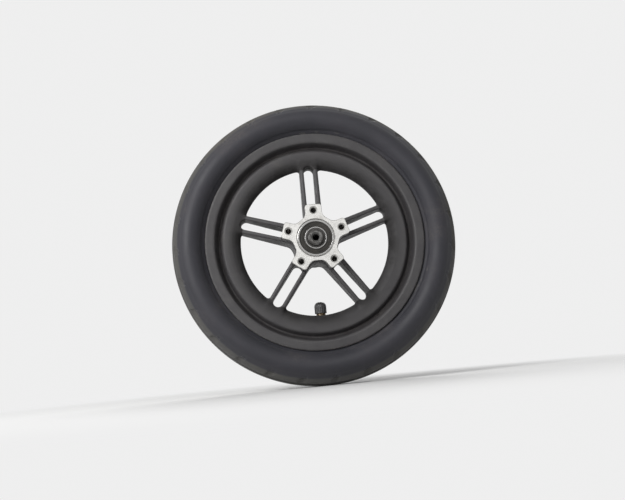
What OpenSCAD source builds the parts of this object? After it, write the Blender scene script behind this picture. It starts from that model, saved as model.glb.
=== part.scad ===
// Spoked scooter wheel: pneumatic tyre on a cast five-spoke rim, turning on two sealed ball
// bearings and a plain through axle. The wheel turns about Y, its brake side faces -Y, and the
// origin is the middle of the wheel. Profiles are drawn as [radius, height], with height growing
// towards the brake side.

/* [Tyre] */
// Outside diameter over the tread
tyre_d = 220; // [212:1:232]
// Section width at the bulge of the sidewalls
tyre_w = 50; // [46:1:56]
// Rubber under the crown of the tread
crown_t = 6; // [4.5:0.5:7]
// Rubber in the sidewalls
sidewall_t = 4.5; // [3:0.5:5.5]
// Depth of the tread grooves
groove_depth = 1.6; // [0.8:0.2:2.4]
// Width of the tread grooves
groove_w = 3; // [2:0.5:4]
// Distance of the outer grooves from the middle of the tread
groove_out = 11; // [9:0.5:12]
// Rubber wall of the inner tube
tube_t = 1.5; // [1:0.1:2]

/* [Rim] */
// Diameter over the flanges
flange_d = 167.5; // [163:0.5:172]
// Height of a flange above its bead seat
flange_lip = 6.25; // [4.5:0.25:7]
// Width over the flange faces
rim_w = 38; // [36:0.5:41]
// Thickness of a flange
flange_t = 3; // [2.5:0.5:3.5]
// Radial width of the flat face on a flange
flange_face_w = 7.25; // [5:0.25:8]
// Depth of the ring groove behind the flange face
ring_groove_depth = 7; // [4.5:0.5:7.5]
// Width of that groove at its mouth
ring_groove_w = 6.25; // [5.5:0.25:7.5]
// How far each side of that groove leans in
ring_groove_draft = 2.5; // [2:0.1:2.7]
// Height of the ring-shaped shoulder inside the groove, from the middle of the wheel
shoulder_h = 16; // [14.5:0.5:17.5]
// Distance from the edge of the flange in to the crest of that shoulder
shoulder_in = 17.75; // [16:0.25:19]
// Distance from the edge of the flange in to the opening inside the rim
window_in = 26.75; // [24.5:0.25:28.5]
// Height of the front edge of that opening
window_h = 11; // [10.5:0.5:12]
// Thickness of the ring-shaped web at that edge
web_t = 3.7; // [3:0.1:3.9]
// Drop of the drop centre below the bead seats
well_drop = 11; // [9.5:0.5:12]
// Width of the drop centre at its floor
well_w = 16; // [15:0.5:17]
// Width of the drop centre at the bead seats
well_top_w = 20; // [19.5:0.5:21]
// Metal left under the floor of the drop centre
barrel_t = 3.5; // [3:0.5:4]

/* [Spokes] */
// Number of spokes
spoke_n = 5; // [5:1:5]
// Width of a spoke
spoke_w = 14; // [12.5:0.5:15]
// Width of the slot in a spoke
slot_w = 7.8; // [5:0.2:8.4]
// Radius where the slot starts
slot_in = 22.5; // [22:0.5:25]
// How far the slot runs on past the edge of the opening
slot_past = 1.5; // [0.5:0.25:2]
// Height of the front of a spoke at the hub
spoke_hub_h = 20; // [18:0.5:22]
// Height of the front of a spoke at the rim
spoke_rim_h = 14; // [13:0.5:15.5]
// Thickness of a spoke at the hub
spoke_hub_t = 26; // [20:1:30]
// Thickness of a spoke at the rim
spoke_rim_t = 13; // [11:0.5:15]
// Radius of the fillets between a spoke and the hub
hub_fillet = 3; // [2:0.5:4]
// Radius of the fillets between a spoke and the rim
rim_fillet = 3; // [1:0.5:3.5]

/* [Hub] */
// Height of the brake side face of the hub
hub_front = 30; // [28:0.5:31]
// Distance of the other hub face behind the middle of the wheel
hub_rear = 24; // [22:0.5:27]
// Diameter of the hub barrel
hub_d = 35.5; // [35:0.5:40]
// Thickness of the brake disc flange
star_t = 11; // [10.8:0.1:12]
// Diameter over the tips of the flange ears
star_d = 51; // [50:0.5:54]
// Distance of the straight edges between the ears from the axis
star_waist = 17.2; // [16.5:0.1:18]
// Width of an ear
ear_w = 12.6; // [11.5:0.1:14]
// Corner radius at the tip of an ear
ear_r = 2.2; // [1:0.1:3]
// Corner radius between the ears
waist_r = 5.5; // [3:0.5:6]
// Bolt circle of the brake disc
disc_pcd = 42; // [41:0.5:44]
// Tapping hole of the brake disc bolts
disc_hole_d = 4.2; // [3.3:0.1:5]
// Depth of those holes
disc_hole_depth = 10; // [7:0.5:10.5]
// Mouth of the countersink on those holes
disc_sink_d = 6.2; // [5.6:0.2:7]

/* [Bearings] */
// Outside diameter of a bearing
bearing_d = 28; // [26:1:28]
// Bore of a bearing
bearing_bore = 12; // [10:1:12]
// Width of a bearing
bearing_w = 8; // [8:0.5:9]
// Depth of a bearing below the hub face
bearing_recess = 0.5; // [0.3:0.1:1]
// Number of balls in a bearing
ball_n = 8; // [7:1:8]
// Diameter of a ball
ball_d = 4.76; // [4.2:0.02:4.8]
// Radial thickness of each bearing ring at its shoulder
ring_t = 2.3; // [2:0.1:2.4]
// Thickness of a bearing seal
seal_t = 0.7; // [0.5:0.1:0.8]
// Depth of a seal below the face of its bearing
seal_recess = 0.2; // [0.1:0.1:0.4]

/* [Axle] */
// Length of the axle
axle_l = 65; // [63:0.5:72]
// Tapping hole in each end of the axle
tap_d = 5; // [4.2:0.1:6.8]
// Depth of the tapping holes
tap_depth = 18; // [12:1:22]
// Mouth of the countersink on the tapping holes
tap_sink_d = 7.6; // [7:0.2:9]
// Chamfer on the axle ends
axle_chamfer = 1; // [0.4:0.1:1.4]
// Outside diameter of the spacer sleeve between the bearings
sleeve_d = 16; // [14.5:0.5:17]

/* [Valve] */
// Outside diameter of the valve stem over its thread
stem_d = 7.7; // [7.4:0.1:8]
// Bore of the valve stem
stem_bore = 5.1; // [4.9:0.1:5.3]
// Hole for the stem in the rim
valve_hole_d = 8.6; // [8.4:0.1:9.4]
// Length of the stem above the seat of its nut
stem_out = 14.25; // [13.25:0.25:17.25]
// Width across the flats of the rim nut
nut_af = 11; // [10:0.5:12]
// Thickness of the rim nut
nut_t = 2.5; // [2:0.1:3]
// Diameter of the valve cap
cap_d = 9.2; // [9:0.1:10.5]
// Length of the valve cap
cap_l = 9; // [8.5:0.5:11]
// Thickness of the top of the cap
cap_top_t = 2.2; // [1.8:0.1:2.6]
// Number of grip grooves on the cap
cap_grip_n = 16; // [8:1:20]
// Diameter of the valve pin
pin_d = 1; // [0.8:0.1:1.2]
// Travel of the valve pin
pin_travel = 1.5; // [1:0.1:1.8]
// Thickness of the seal in the cap
cap_seal_t = 0.8; // [0.6:0.1:1]

/* [Fits] */
// Radial gap of parts that are pressed or screwed together
fit_gap = 0.02; // [0.01:0.01:0.04]
// Radial gap of parts that turn or slide on each other
run_gap = 0.1; // [0.06:0.01:0.12]
// Gap between rubber and what it lies against
rubber_gap = 0.15; // [0.1:0.05:0.3]

/* [Hidden] */
$fn = 96;

// Rim radii and heights
flange_r = flange_d / 2;
bead_r = flange_r - flange_lip;
face_h = rim_w / 2;
channel_h = face_h - flange_t;
well_r = bead_r - well_drop;
bore_r = well_r - barrel_t;
window_r = flange_r - window_in;
shoulder_r = flange_r - shoulder_in;
slot_out = window_r + slot_past;
groove_h = face_h - ring_groove_depth;
face_r = flange_r - flange_face_w;
groove_out_r = face_r - ring_groove_draft;
groove_edge_r = face_r - ring_groove_w;
groove_in_r = groove_edge_r + ring_groove_draft;
web_back_h = window_h - web_t;

// Hub and bearing heights
hub_r = hub_d / 2;
bearing_r = bearing_d / 2;
bearing_bore_r = bearing_bore / 2;
front_face_h = hub_front - bearing_recess;
rear_face_h = hub_rear - bearing_recess;
pitch_r = (bearing_r + bearing_bore_r) / 2;
ball_r = ball_d / 2;
race_r = ball_r + run_gap;
outer_ring_r = bearing_r - ring_t;
inner_ring_r = bearing_bore_r + ring_t;
seal_seat_t = 0.75;
seal_r = outer_ring_r + seal_seat_t;
seal_h = bearing_w / 2 - seal_recess - seal_t;
cage_h = seal_h - 0.25;
cage_t = 1.5;
hub_bore_r = bearing_r - 2.4;
axle_r = bearing_bore_r - fit_gap;

// Tyre heights
tyre_r = tyre_d / 2;
section = tyre_r - flange_r;
bulge_h = tyre_w / 2;
bulge_r = flange_r + 0.4 * section;
cavity_r = tyre_r - crown_t;
cavity_h = bulge_h - sidewall_t + 1;
toe_gap = 0.4;
bead_toe_h = well_top_w / 2 + toe_gap;
bead_toe_t = 2;
bead_t = flange_lip + 2.5;

// Valve places, as distances from the wheel axis
valve_seat = bore_r + 0.2;
stem_top = valve_seat - stem_out;
cap_roof = stem_top - cap_seal_t - 2 * fit_gap;
cap_tip = cap_roof - cap_top_t;
cap_foot = cap_tip + cap_l;
tube_floor = well_r + rubber_gap + tube_t;
stem_flange_t = 1.4;
stem_foot = tube_floor + stem_flange_t + 2.5;
stem_flange_r = well_w / 2 - 3.4;
stem_r = stem_d / 2;
core_wall_t = 1.2;
core_top = stem_top + core_wall_t;
core_r = stem_bore / 2 - fit_gap;
core_bore_r = 1.7;
pin_r = pin_d / 2;
pin_top = stem_top + pin_r;
collar_r = core_bore_r - run_gap;
collar_t = 0.6;
collar_at = core_top + core_wall_t + 0.4;
pin_seal_t = 1.3;
spring_wire = 0.45;
spring_turns = 7;
spring_pitch = 1.23;
spring_r = core_bore_r - spring_wire / 2 - 0.12;
spring_top = collar_at + collar_t;
spring_foot = spring_top + spring_turns * spring_pitch + pin_travel;
core_foot = spring_foot + core_wall_t;

function mirrored(half) =
    concat(half, [for (i = [len(half) - 1:-1:0]) [half[i][0], -half[i][1], half[i][2]]]);
function unit(v) = v / norm(v);
function flat(p) = [p[0], p[1]];

// Half of the angle at p between its neighbours a and b
function half_angle(a, p, b) =
    acos(max(-1, min(1, unit(flat(a) - flat(p)) * unit(flat(b) - flat(p))))) / 2;

// How much of its sides a corner of the wanted radius takes up
function side_use(a, p, b) =
    let (half = half_angle(a, p, b)) p[2] == 0 || half > 89 ? 0 : p[2] / tan(half);

// Corner p between its neighbours a and b, rounded to the radius r
function corner(a, p, b, r, step = 12) =
    let (
        u = unit(flat(a) - flat(p)),
        v = unit(flat(b) - flat(p)),
        half = half_angle(a, p, b),
        centre = flat(p) + unit(u + v) * r / sin(half),
        from = flat(p) + u * r / tan(half) - centre,
        turn = (180 - 2 * half) * (u[0] * v[1] - u[1] * v[0] > 0 ? -1 : 1),
        n = max(2, ceil(abs(turn) / step))
    )
    r == 0 || half > 89
        ? [flat(p)]
        : [for (i = [0:n]) centre + [
            from[0] * cos(turn * i / n) - from[1] * sin(turn * i / n),
            from[0] * sin(turn * i / n) + from[1] * cos(turn * i / n)
          ]];

// Outline through points [x, y, corner radius]. Corners that would meet on a short side share it.
function rounded(pts) =
    let (
        n = len(pts),
        use = [for (i = [0:n - 1]) side_use(pts[(i + n - 1) % n], pts[i], pts[(i + 1) % n])],
        share = [for (i = [0:n - 1]) let (j = (i + 1) % n)
            0.99 * norm(flat(pts[j]) - flat(pts[i])) / max(0.001, use[i] + use[j])]
    )
    [for (i = [0:n - 1])
        each corner(pts[(i + n - 1) % n], pts[i], pts[(i + 1) % n],
            pts[i][2] * min(1, share[i], share[(i + n - 1) % n]))];

// The same outline, which runs anticlockwise, drawn in by d on all sides
function drawn_in(pts, d) =
    let (n = len(pts))
    [for (i = [0:n - 1])
        let (
            p = flat(pts[i]),
            u = unit(p - flat(pts[(i + n - 1) % n])),
            v = unit(flat(pts[(i + 1) % n]) - p),
            side = [-u[1] - v[1], u[0] + v[0]],
            bend = u[0] * v[1] - u[1] * v[0]
        )
        [p[0] + side[0] * d / (1 + u * v), p[1] + side[1] * d / (1 + u * v),
            max(0, pts[i][2] + (bend > 0 ? -d : d))]];

// Turns a model with its axis along Z so that the axis lies along Y, top towards the brake side
module upright() {
    rotate([90, 0, 0]) children();
}

module lathe(outline) {
    rotate_extrude($fn = 128) polygon(outline);
}

module around_spokes() {
    for (i = [0:spoke_n - 1]) rotate(90 + i * 360 / spoke_n) children();
}

// Section of the rim's ring: drop centre, bead seats and flanges on the tyre's side, then the
// grooved front, the arc from the shoulder's crest down to the web, and the open barrel behind it
module rim_ring() {
    web_in = window_r - 0.5;
    run = shoulder_r - window_r;
    rise = shoulder_h - window_h;
    arc_turn = (run * run + rise * rise) / (2 * run);
    arc_r = arc_turn * run / rise;
    slope = rise / (run - arc_turn);
    lathe(rounded([
        [well_r, well_w / 2, 2.5],
        [bead_r, well_top_w / 2, 1.5],
        [bead_r, channel_h, 1],
        [flange_r, channel_h, 1.2],
        [flange_r, face_h, 1],
        [face_r, face_h, 1.8],
        [groove_out_r, groove_h, 2.4],
        [groove_in_r, groove_h, 2],
        [groove_edge_r, shoulder_h, 2.5],
        [shoulder_r - arc_turn, shoulder_h, arc_r],
        [web_in, window_h - slope * 0.5, 0],
        [web_in, web_back_h, 0],
        [bore_r, web_back_h, 1],
        [bore_r, -well_w / 2 - 2, 2],
        [groove_out_r, -face_h + 4.5, 2],
        [face_r, -face_h, 0.8],
        [flange_r, -face_h, 0.8],
        [flange_r, -channel_h, 1.2],
        [bead_r, -channel_h, 1],
        [bead_r, -well_top_w / 2, 1.5],
        [well_r, -well_w / 2, 2.5]
    ]));
}

// Solid spokes from the axis to the barrel, a little too wide: the windows cut them to width
module spokes() {
    spare = 0.05;
    reach = bore_r + barrel_t / 2;
    intersection() {
        translate([0, 0, -hub_rear]) linear_extrude(hub_rear + hub_front) {
            around_spokes() translate([0, -spoke_w / 2 - spare]) square([shoulder_r, spoke_w + 2 * spare]);
            circle(r = hub_r + hub_fillet + 1.3);
        }
        lathe([
            [hub_bore_r - 1, spoke_hub_h], [hub_r, spoke_hub_h], [reach, spoke_rim_h],
            [reach, spoke_rim_h - spoke_rim_t], [hub_r, spoke_hub_h - spoke_hub_t],
            [hub_bore_r - 1, spoke_hub_h - spoke_hub_t]
        ]);
    }
}

// Outline of the window that follows the spoke along +X: two straight sides, two arcs, four fillets
function window_points() =
    let (
        half = spoke_w / 2,
        pitch = 360 / spoke_n,
        in_r = hub_r + 0.15,
        out_r = window_r + 0.12,
        in_a = asin(half / in_r),
        out_a = asin(half / out_r),
        in_n = 2,
        out_n = 12
    )
    concat(
        [for (i = [0:out_n]) let (a = out_a + (pitch - 2 * out_a) * i / out_n)
            [out_r * cos(a), out_r * sin(a), i == 0 || i == out_n ? rim_fillet : 0]],
        [for (i = [in_n:-1:0]) let (a = in_a + (pitch - 2 * in_a) * i / in_n)
            [in_r * cos(a), in_r * sin(a), i == 0 || i == in_n ? hub_fillet : 0]]
    );

module windows() {
    intersection() {
        translate([0, 0, -hub_rear - 1]) linear_extrude(hub_rear + hub_front + 2)
            around_spokes() polygon(rounded(window_points()));
        translate([0, 0, -hub_rear - 2]) cylinder(r = window_r, h = hub_rear + hub_front + 4, $fn = 128);
    }
}

module slots() {
    r = slot_w / 2 - 0.01;
    translate([0, 0, -hub_rear]) linear_extrude(hub_rear + hub_front) around_spokes()
        polygon(rounded([
            [slot_in, -slot_w / 2, r], [slot_out, -slot_w / 2, r],
            [slot_out, slot_w / 2, r], [slot_in, slot_w / 2, r]
        ]));
}

// Outline of the brake disc flange: an ear on each spoke and straight edges between the ears
function star_points() =
    let (
        half = ear_w / 2,
        step = 180 / spoke_n,
        foot = (star_waist - half * sin(step)) / cos(step),
        tip = star_d / 2,
        ear = [[foot, -half, waist_r], [tip, -half, ear_r], [tip, half, ear_r], [foot, half, waist_r]]
    )
    [for (i = [0:spoke_n - 1]) let (a = 90 + i * 360 / spoke_n)
        each [for (p = ear)
            [p[0] * cos(a) - p[1] * sin(a), p[0] * sin(a) + p[1] * cos(a), p[2]]]];

module star() {
    translate([0, 0, hub_front - star_t]) linear_extrude(star_t) polygon(rounded(star_points()));
}

// Hub barrel with a draft towards the rear face
module hub_barrel() {
    in_r = hub_bore_r - 1;
    top = hub_front - star_t / 2;
    lathe([
        [in_r, -hub_rear], [hub_r - 1.8, -hub_rear], [hub_r - 1.2, -hub_rear + 0.6],
        [hub_r, spoke_hub_h - spoke_hub_t], [hub_r, top], [in_r, top]
    ]);
}

// Countersunk hole that opens towards +Z at the origin
module sunk_hole(d, depth, sink_d) {
    sink = (sink_d - d) / 2;
    translate([0, 0, -depth]) cylinder(d = d, h = depth + 1, $fn = 48);
    translate([0, 0, -sink]) cylinder(d1 = d, d2 = sink_d + 2, h = sink + 1, $fn = 48);
}

// Bearing seat that opens towards +Z at the origin
module bearing_seat() {
    chamfer = 0.6;
    depth = bearing_recess + bearing_w;
    translate([0, 0, -depth]) cylinder(r = bearing_r, h = depth + 1);
    translate([0, 0, -chamfer]) cylinder(r1 = bearing_r, r2 = bearing_r + chamfer + 1, h = chamfer + 1);
}

module rim_casting() {
    difference() {
        union() {
            rim_ring();
            spokes();
        }
        windows();
        slots();
    }
    hub_barrel();
    star();
}

module rim() {
    color("dimgray") difference() {
        upright() difference() {
            rim_casting();
            translate([0, 0, -hub_rear - 1]) cylinder(r = hub_bore_r, h = hub_rear + hub_front + 2);
            translate([0, 0, hub_front]) bearing_seat();
            mirror([0, 0, 1]) translate([0, 0, hub_rear]) bearing_seat();
            around_spokes() translate([disc_pcd / 2, 0, hub_front])
                sunk_hole(disc_hole_d, disc_hole_depth, disc_sink_d);
        }
        translate([0, 0, -well_r - 2]) cylinder(d = valve_hole_d, h = barrel_t + 4, $fn = 48);
        translate([0, 0, -valve_seat]) cylinder(d = nut_af / cos(30) + 1, h = nut_t + 2, $fn = 48);
    }
}

// Outside of the tyre, from the crown over the shoulder and bulge to the bead. Its curves are shares
// of the section's height over the flange, so they follow the tyre and the rim.
function tyre_half() = [
    [tyre_r, bulge_h * 0.28, section * 0.74],
    [tyre_r - section * 0.096, bulge_h * 0.62, section * 0.44],
    [tyre_r - section * 0.315, bulge_h * 0.9, section * 0.333],
    [bulge_r, bulge_h * 1.126, section * 0.407],
    [flange_r + section * 0.133, face_h + flange_t * 0.53, section * 0.074],
    [flange_r + section * 0.096, face_h - flange_t * 0.13, 0.4],
    [flange_r + section * 0.052, face_h - flange_t * 0.47, 0.4],
    [flange_r + rubber_gap, channel_h + flange_t * 0.27, 0.3],
    [flange_r + rubber_gap, channel_h - rubber_gap, 0.8],
    [bead_r + rubber_gap, channel_h - rubber_gap, 1.5]
];

// Inside of the tyre, down to the bead toes
function cavity_half() = [
    [cavity_r, bulge_h * 0.5, section * 0.296],
    [bulge_r + section * 0.074, cavity_h, section * 0.333],
    [bead_r + bead_t, channel_h - bead_toe_t, section * 0.148],
    [bead_r + bead_toe_t, bead_toe_h, 1.5]
];

// Space of the inner tube: the inside of the tyre, and the drop centre between the bead toes
function tube_space() = mirrored(concat(cavity_half(), [
    [bead_r, well_top_w / 2 - toe_gap, 1.5],
    [well_r, well_w / 2 - toe_gap, 2.6]
]));

module tread_groove(h) {
    floor_r = tyre_r - groove_depth - abs(h) * 0.09;
    translate([0, 0, h - groove_w / 2]) difference() {
        cylinder(r = tyre_r + 1, h = groove_w, $fn = 128);
        translate([0, 0, -1]) cylinder(r = floor_r, h = groove_w + 2, $fn = 128);
    }
}

module tyre() {
    color("#2b2b2d") upright() difference() {
        rotate_extrude($fn = 128) difference() {
            polygon(rounded(mirrored(tyre_half())));
            polygon(rounded(mirrored(concat(cavity_half(), [[bead_r - bead_toe_t, bead_toe_h, 0]]))));
        }
        for (h = [-groove_out, 0, groove_out]) tread_groove(h);
    }
}

module inner_tube() {
    color("#1d1d1f") difference() {
        upright() rotate_extrude($fn = 128) difference() {
            polygon(rounded(drawn_in(tube_space(), rubber_gap)));
            polygon(rounded(drawn_in(tube_space(), rubber_gap + tube_t)));
        }
        translate([0, 0, -tube_floor - 1]) cylinder(r = stem_r + fit_gap, h = tube_t + 3, $fn = 48);
    }
}

module axle() {
    half = axle_l / 2;
    c = axle_chamfer;
    color("silver") upright() difference() {
        lathe([
            [0, -half], [axle_r - c, -half], [axle_r, c - half],
            [axle_r, half - c], [axle_r - c, half], [0, half]
        ]);
        translate([0, 0, half]) sunk_hole(tap_d, tap_depth, tap_sink_d);
        mirror([0, 0, 1]) translate([0, 0, half]) sunk_hole(tap_d, tap_depth, tap_sink_d);
    }
}

// Tube on the axle between two heights
module sleeve(from, to) {
    color("lightgray") upright() lathe([
        [bearing_bore_r + fit_gap, from], [sleeve_d / 2, from],
        [sleeve_d / 2, to], [bearing_bore_r + fit_gap, to]
    ]);
}

module spacer_sleeve() {
    sleeve(bearing_w - rear_face_h, front_face_h - bearing_w);
}

// Makes up the distance to the fork behind the rear bearing
module rear_collar() {
    sleeve(-front_face_h, -rear_face_h);
}

// Puts a bearing piece that is drawn about its own middle at the brake side (1) or the other side (-1)
module at_bearing(side) {
    h = side > 0 ? front_face_h - bearing_w / 2 : bearing_w / 2 - rear_face_h;
    upright() translate([0, 0, h]) children();
}

module outer_ring(side) {
    half = bearing_w / 2;
    step_h = seal_h - 0.05;
    color("gainsboro") at_bearing(side) rotate_extrude($fn = 128) difference() {
        polygon(rounded(mirrored([
            [outer_ring_r, step_h, 0], [seal_r, step_h, 0], [seal_r, half, 0.15],
            [bearing_r - fit_gap, half, 0.5]
        ])));
        translate([pitch_r, 0]) circle(r = race_r, $fn = 64);
    }
}

module inner_ring(side) {
    half = bearing_w / 2;
    color("gainsboro") at_bearing(side) rotate_extrude($fn = 128) difference() {
        polygon(rounded(mirrored([[inner_ring_r, half, 0.4], [bearing_bore_r, half, 0.4]])));
        translate([pitch_r, 0]) circle(r = race_r, $fn = 64);
    }
}

module on_balls() {
    for (i = [0:ball_n - 1]) rotate(i * 360 / ball_n) translate([pitch_r, 0, 0]) children();
}

module balls(side) {
    color("whitesmoke") at_bearing(side) on_balls() sphere(r = ball_r, $fn = 48);
}

module cage(side) {
    color("tan") at_bearing(side) difference() {
        lathe([
            [pitch_r - cage_t / 2, -cage_h], [pitch_r + cage_t / 2, -cage_h],
            [pitch_r + cage_t / 2, cage_h], [pitch_r - cage_t / 2, cage_h]
        ]);
        on_balls() rotate([0, 90, 0]) cylinder(r = race_r, h = 2 * cage_t, center = true, $fn = 48);
    }
}

// One seal of a bearing, on its outward face (1) or on its inward face (-1)
module seal(side, face) {
    lip = inner_ring_r + run_gap;
    edge = seal_r - fit_gap;
    color("#3a3a38") at_bearing(side) mirror([0, 0, side * face > 0 ? 0 : 1]) lathe([
        [lip, seal_h], [edge, seal_h], [edge, seal_h + seal_t], [edge - 0.5, seal_h + seal_t],
        [edge - 0.8, seal_h + seal_t * 0.7], [lip + 0.9, seal_h + seal_t * 0.7],
        [lip + 0.6, seal_h + seal_t], [lip, seal_h + seal_t]
    ]);
}

// Turned valve piece on the valve's line, its outline given as [radius, distance from the wheel axis]
module on_valve(outline) {
    rotate_extrude($fn = 64) polygon([for (p = outline) [p[0], -p[1]]]);
}

module valve_stem() {
    bore = stem_bore / 2;
    color("goldenrod") on_valve([
        [bore, stem_top], [stem_r - 0.5, stem_top], [stem_r, stem_top + 0.5], [stem_r, tube_floor],
        [stem_flange_r, tube_floor], [stem_flange_r, tube_floor + stem_flange_t],
        [stem_r, tube_floor + stem_flange_t], [stem_r, stem_foot], [bore, stem_foot]
    ]);
}

module valve_nut() {
    color("silver") translate([0, 0, -valve_seat]) difference() {
        cylinder(d = nut_af / cos(30), h = nut_t, $fn = 6);
        translate([0, 0, -1]) cylinder(r = stem_r + fit_gap, h = nut_t + 2, $fn = 48);
    }
}

module valve_core() {
    hole = pin_r + run_gap;
    color("gold") on_valve([
        [hole, core_top], [core_r, core_top], [core_r, core_foot], [hole, core_foot],
        [hole, core_foot - core_wall_t], [core_bore_r, core_foot - core_wall_t],
        [core_bore_r, core_top + core_wall_t], [hole, core_top + core_wall_t]
    ]);
}

// Coil of the core's spring: rings of points along a helix, joined into one tube
spring_rings = spring_turns * 8;
spring_sides = 6;
spring_rise = spring_foot - spring_top - spring_wire - 4 * fit_gap;
function spring_point(i, j) =
    let (
        a = 360 * i / 8,
        s = 360 * j / spring_sides,
        r = spring_r + spring_wire / 2 * cos(s)
    )
    [r * cos(a), r * sin(a), spring_rise * i / spring_rings + spring_wire / 2 * sin(s)];

spring_points = [for (i = [0:spring_rings]) for (j = [0:spring_sides - 1]) spring_point(i, j)];
spring_faces = concat(
    [for (i = [0:spring_rings - 1]) for (j = [0:spring_sides - 1])
        let (a = i * spring_sides + j, b = i * spring_sides + (j + 1) % spring_sides)
        each [[a, b, b + spring_sides], [a, b + spring_sides, a + spring_sides]]],
    [for (j = [1:spring_sides - 2]) [0, j + 1, j]],
    [for (j = [1:spring_sides - 2]) let (k = spring_rings * spring_sides) [k, k + j, k + j + 1]]
);

module valve_spring() {
    color("lightsteelblue")
        translate([0, 0, -spring_foot + spring_wire / 2 + 2 * fit_gap])
            polyhedron(spring_points, spring_faces);
}

module valve_pin() {
    color("khaki") on_valve([
        [0, pin_top], [pin_r, pin_top], [pin_r, collar_at], [collar_r, collar_at],
        [collar_r, collar_at + collar_t], [pin_r, collar_at + collar_t],
        [pin_r, core_foot + pin_seal_t + 0.4], [0, core_foot + pin_seal_t + 0.4]
    ]);
}

module valve_pin_seal() {
    color("#202020") on_valve([
        [pin_r + fit_gap, core_foot + fit_gap], [core_r - 0.4, core_foot + fit_gap],
        [core_r - 0.4, core_foot + pin_seal_t], [pin_r + fit_gap, core_foot + pin_seal_t]
    ]);
}

module valve_cap() {
    r = cap_d / 2;
    bore = stem_r + run_gap;
    color("#1b1b1c") difference() {
        on_valve(rounded([
            [bore, cap_foot, 0], [r, cap_foot, 0.4], [r, cap_tip, cap_top_t + 1.6], [0, cap_tip, 0],
            [0, cap_roof, 0], [bore, cap_roof, 0]
        ]));
        for (i = [0:cap_grip_n - 1]) rotate(i * 360 / cap_grip_n)
            translate([r + 0.2, 0, -cap_foot - 1]) cylinder(r = 0.45, h = cap_l - 2.5, $fn = 24);
    }
}

module valve_cap_seal() {
    color("#303030") translate([0, 0, -cap_roof - fit_gap - cap_seal_t])
        cylinder(r = stem_r - 0.1, h = cap_seal_t, $fn = 48);
}

rim();
tyre();
inner_tube();
axle();
spacer_sleeve();
rear_collar();
outer_ring(1);  // front_outer_ring
inner_ring(1);  // front_inner_ring
balls(1);  // front_balls
cage(1);  // front_cage
seal(1, 1);  // front_outer_seal
seal(1, -1);  // front_inner_seal
outer_ring(-1);  // rear_outer_ring
inner_ring(-1);  // rear_inner_ring
balls(-1);  // rear_balls
cage(-1);  // rear_cage
seal(-1, 1);  // rear_outer_seal
seal(-1, -1);  // rear_inner_seal
valve_stem();
valve_nut();
valve_core();
valve_spring();
valve_pin();
valve_pin_seal();
valve_cap();
valve_cap_seal();
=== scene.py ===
"""Looks of a spoked scooter wheel: tyre, cast five-spoke rim, sealed bearings, axle and valve.

Sizes are in millimetres and are turned into metres where a mesh is made. The wheel turns about Y,
its brake side faces -Y, and "height" is the distance from the wheel's middle towards that side.
Lengths that belong to a finish, a lamp, the floor or the camera are in metres.
"""

import logging
import math
from dataclasses import dataclass, field
from enum import Enum
from typing import Callable, Sequence

import bmesh
import bpy
import numpy as np
from mathutils import Matrix, Vector
from mathutils.geometry import tessellate_polygon


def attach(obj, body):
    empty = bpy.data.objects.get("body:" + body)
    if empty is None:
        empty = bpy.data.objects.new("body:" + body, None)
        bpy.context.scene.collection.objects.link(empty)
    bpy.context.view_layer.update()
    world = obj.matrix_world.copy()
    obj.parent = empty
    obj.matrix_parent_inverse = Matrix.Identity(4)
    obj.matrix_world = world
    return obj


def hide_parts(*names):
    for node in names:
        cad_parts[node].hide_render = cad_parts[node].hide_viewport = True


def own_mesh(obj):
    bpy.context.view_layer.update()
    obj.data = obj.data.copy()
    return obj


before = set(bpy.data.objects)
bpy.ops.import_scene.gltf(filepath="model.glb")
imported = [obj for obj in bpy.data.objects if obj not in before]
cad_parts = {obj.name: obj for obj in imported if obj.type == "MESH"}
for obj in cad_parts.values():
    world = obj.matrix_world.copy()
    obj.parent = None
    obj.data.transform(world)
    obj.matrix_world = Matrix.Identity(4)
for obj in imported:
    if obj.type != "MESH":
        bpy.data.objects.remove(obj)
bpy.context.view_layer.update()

MM = 0.001
UP = math.pi / 2  # direction of the first spoke, seen from the brake side
SHARP = 40.0  # edges that bend by more degrees than this stay sharp
TURN_STEPS = 144  # places around a turned piece
THREAD_ROWS = 6  # rows of points in each turn of a thread
STRAIGHT = math.radians(89)  # half the opening from which a corner counts as straight
SIDE_SHARE = 0.99  # how much of a side its two roundings may take
TINY = 1e-6  # keeps divisions defined, and counts the same when rounding errors differ
NEVER_ZERO = 1e-12  # keeps the division by a side's length defined
WELD = 1e-7  # points nearer than this are merged, in metres
SLIVER = 1e-8  # edges shorter than this are dissolved, in metres

Corner = tuple[float, float, float]  # place in two directions and radius of the rounding
Colour = tuple[float, float, float]
Pair = tuple[float, float]
Run = tuple[float, float, float]  # start, end and step
Skin = tuple[np.ndarray, Sequence[Sequence[int]]]  # points and the corner numbers of faces
Piece = bpy.types.Object
Node = bpy.types.Node
Socket = bpy.types.NodeSocket
Tree = bpy.types.NodeTree
log = logging.getLogger("wheel")


# Outlines and meshes


def angles(steps: int) -> np.ndarray:
    """Equal steps around a full turn, in radians."""
    return np.arange(steps) * 2 * math.pi / steps


def circle(steps: int) -> np.ndarray:
    """Points around a circle of radius 1."""
    turn = angles(steps)
    return np.stack([np.cos(turn), np.sin(turn)], -1)


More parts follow.
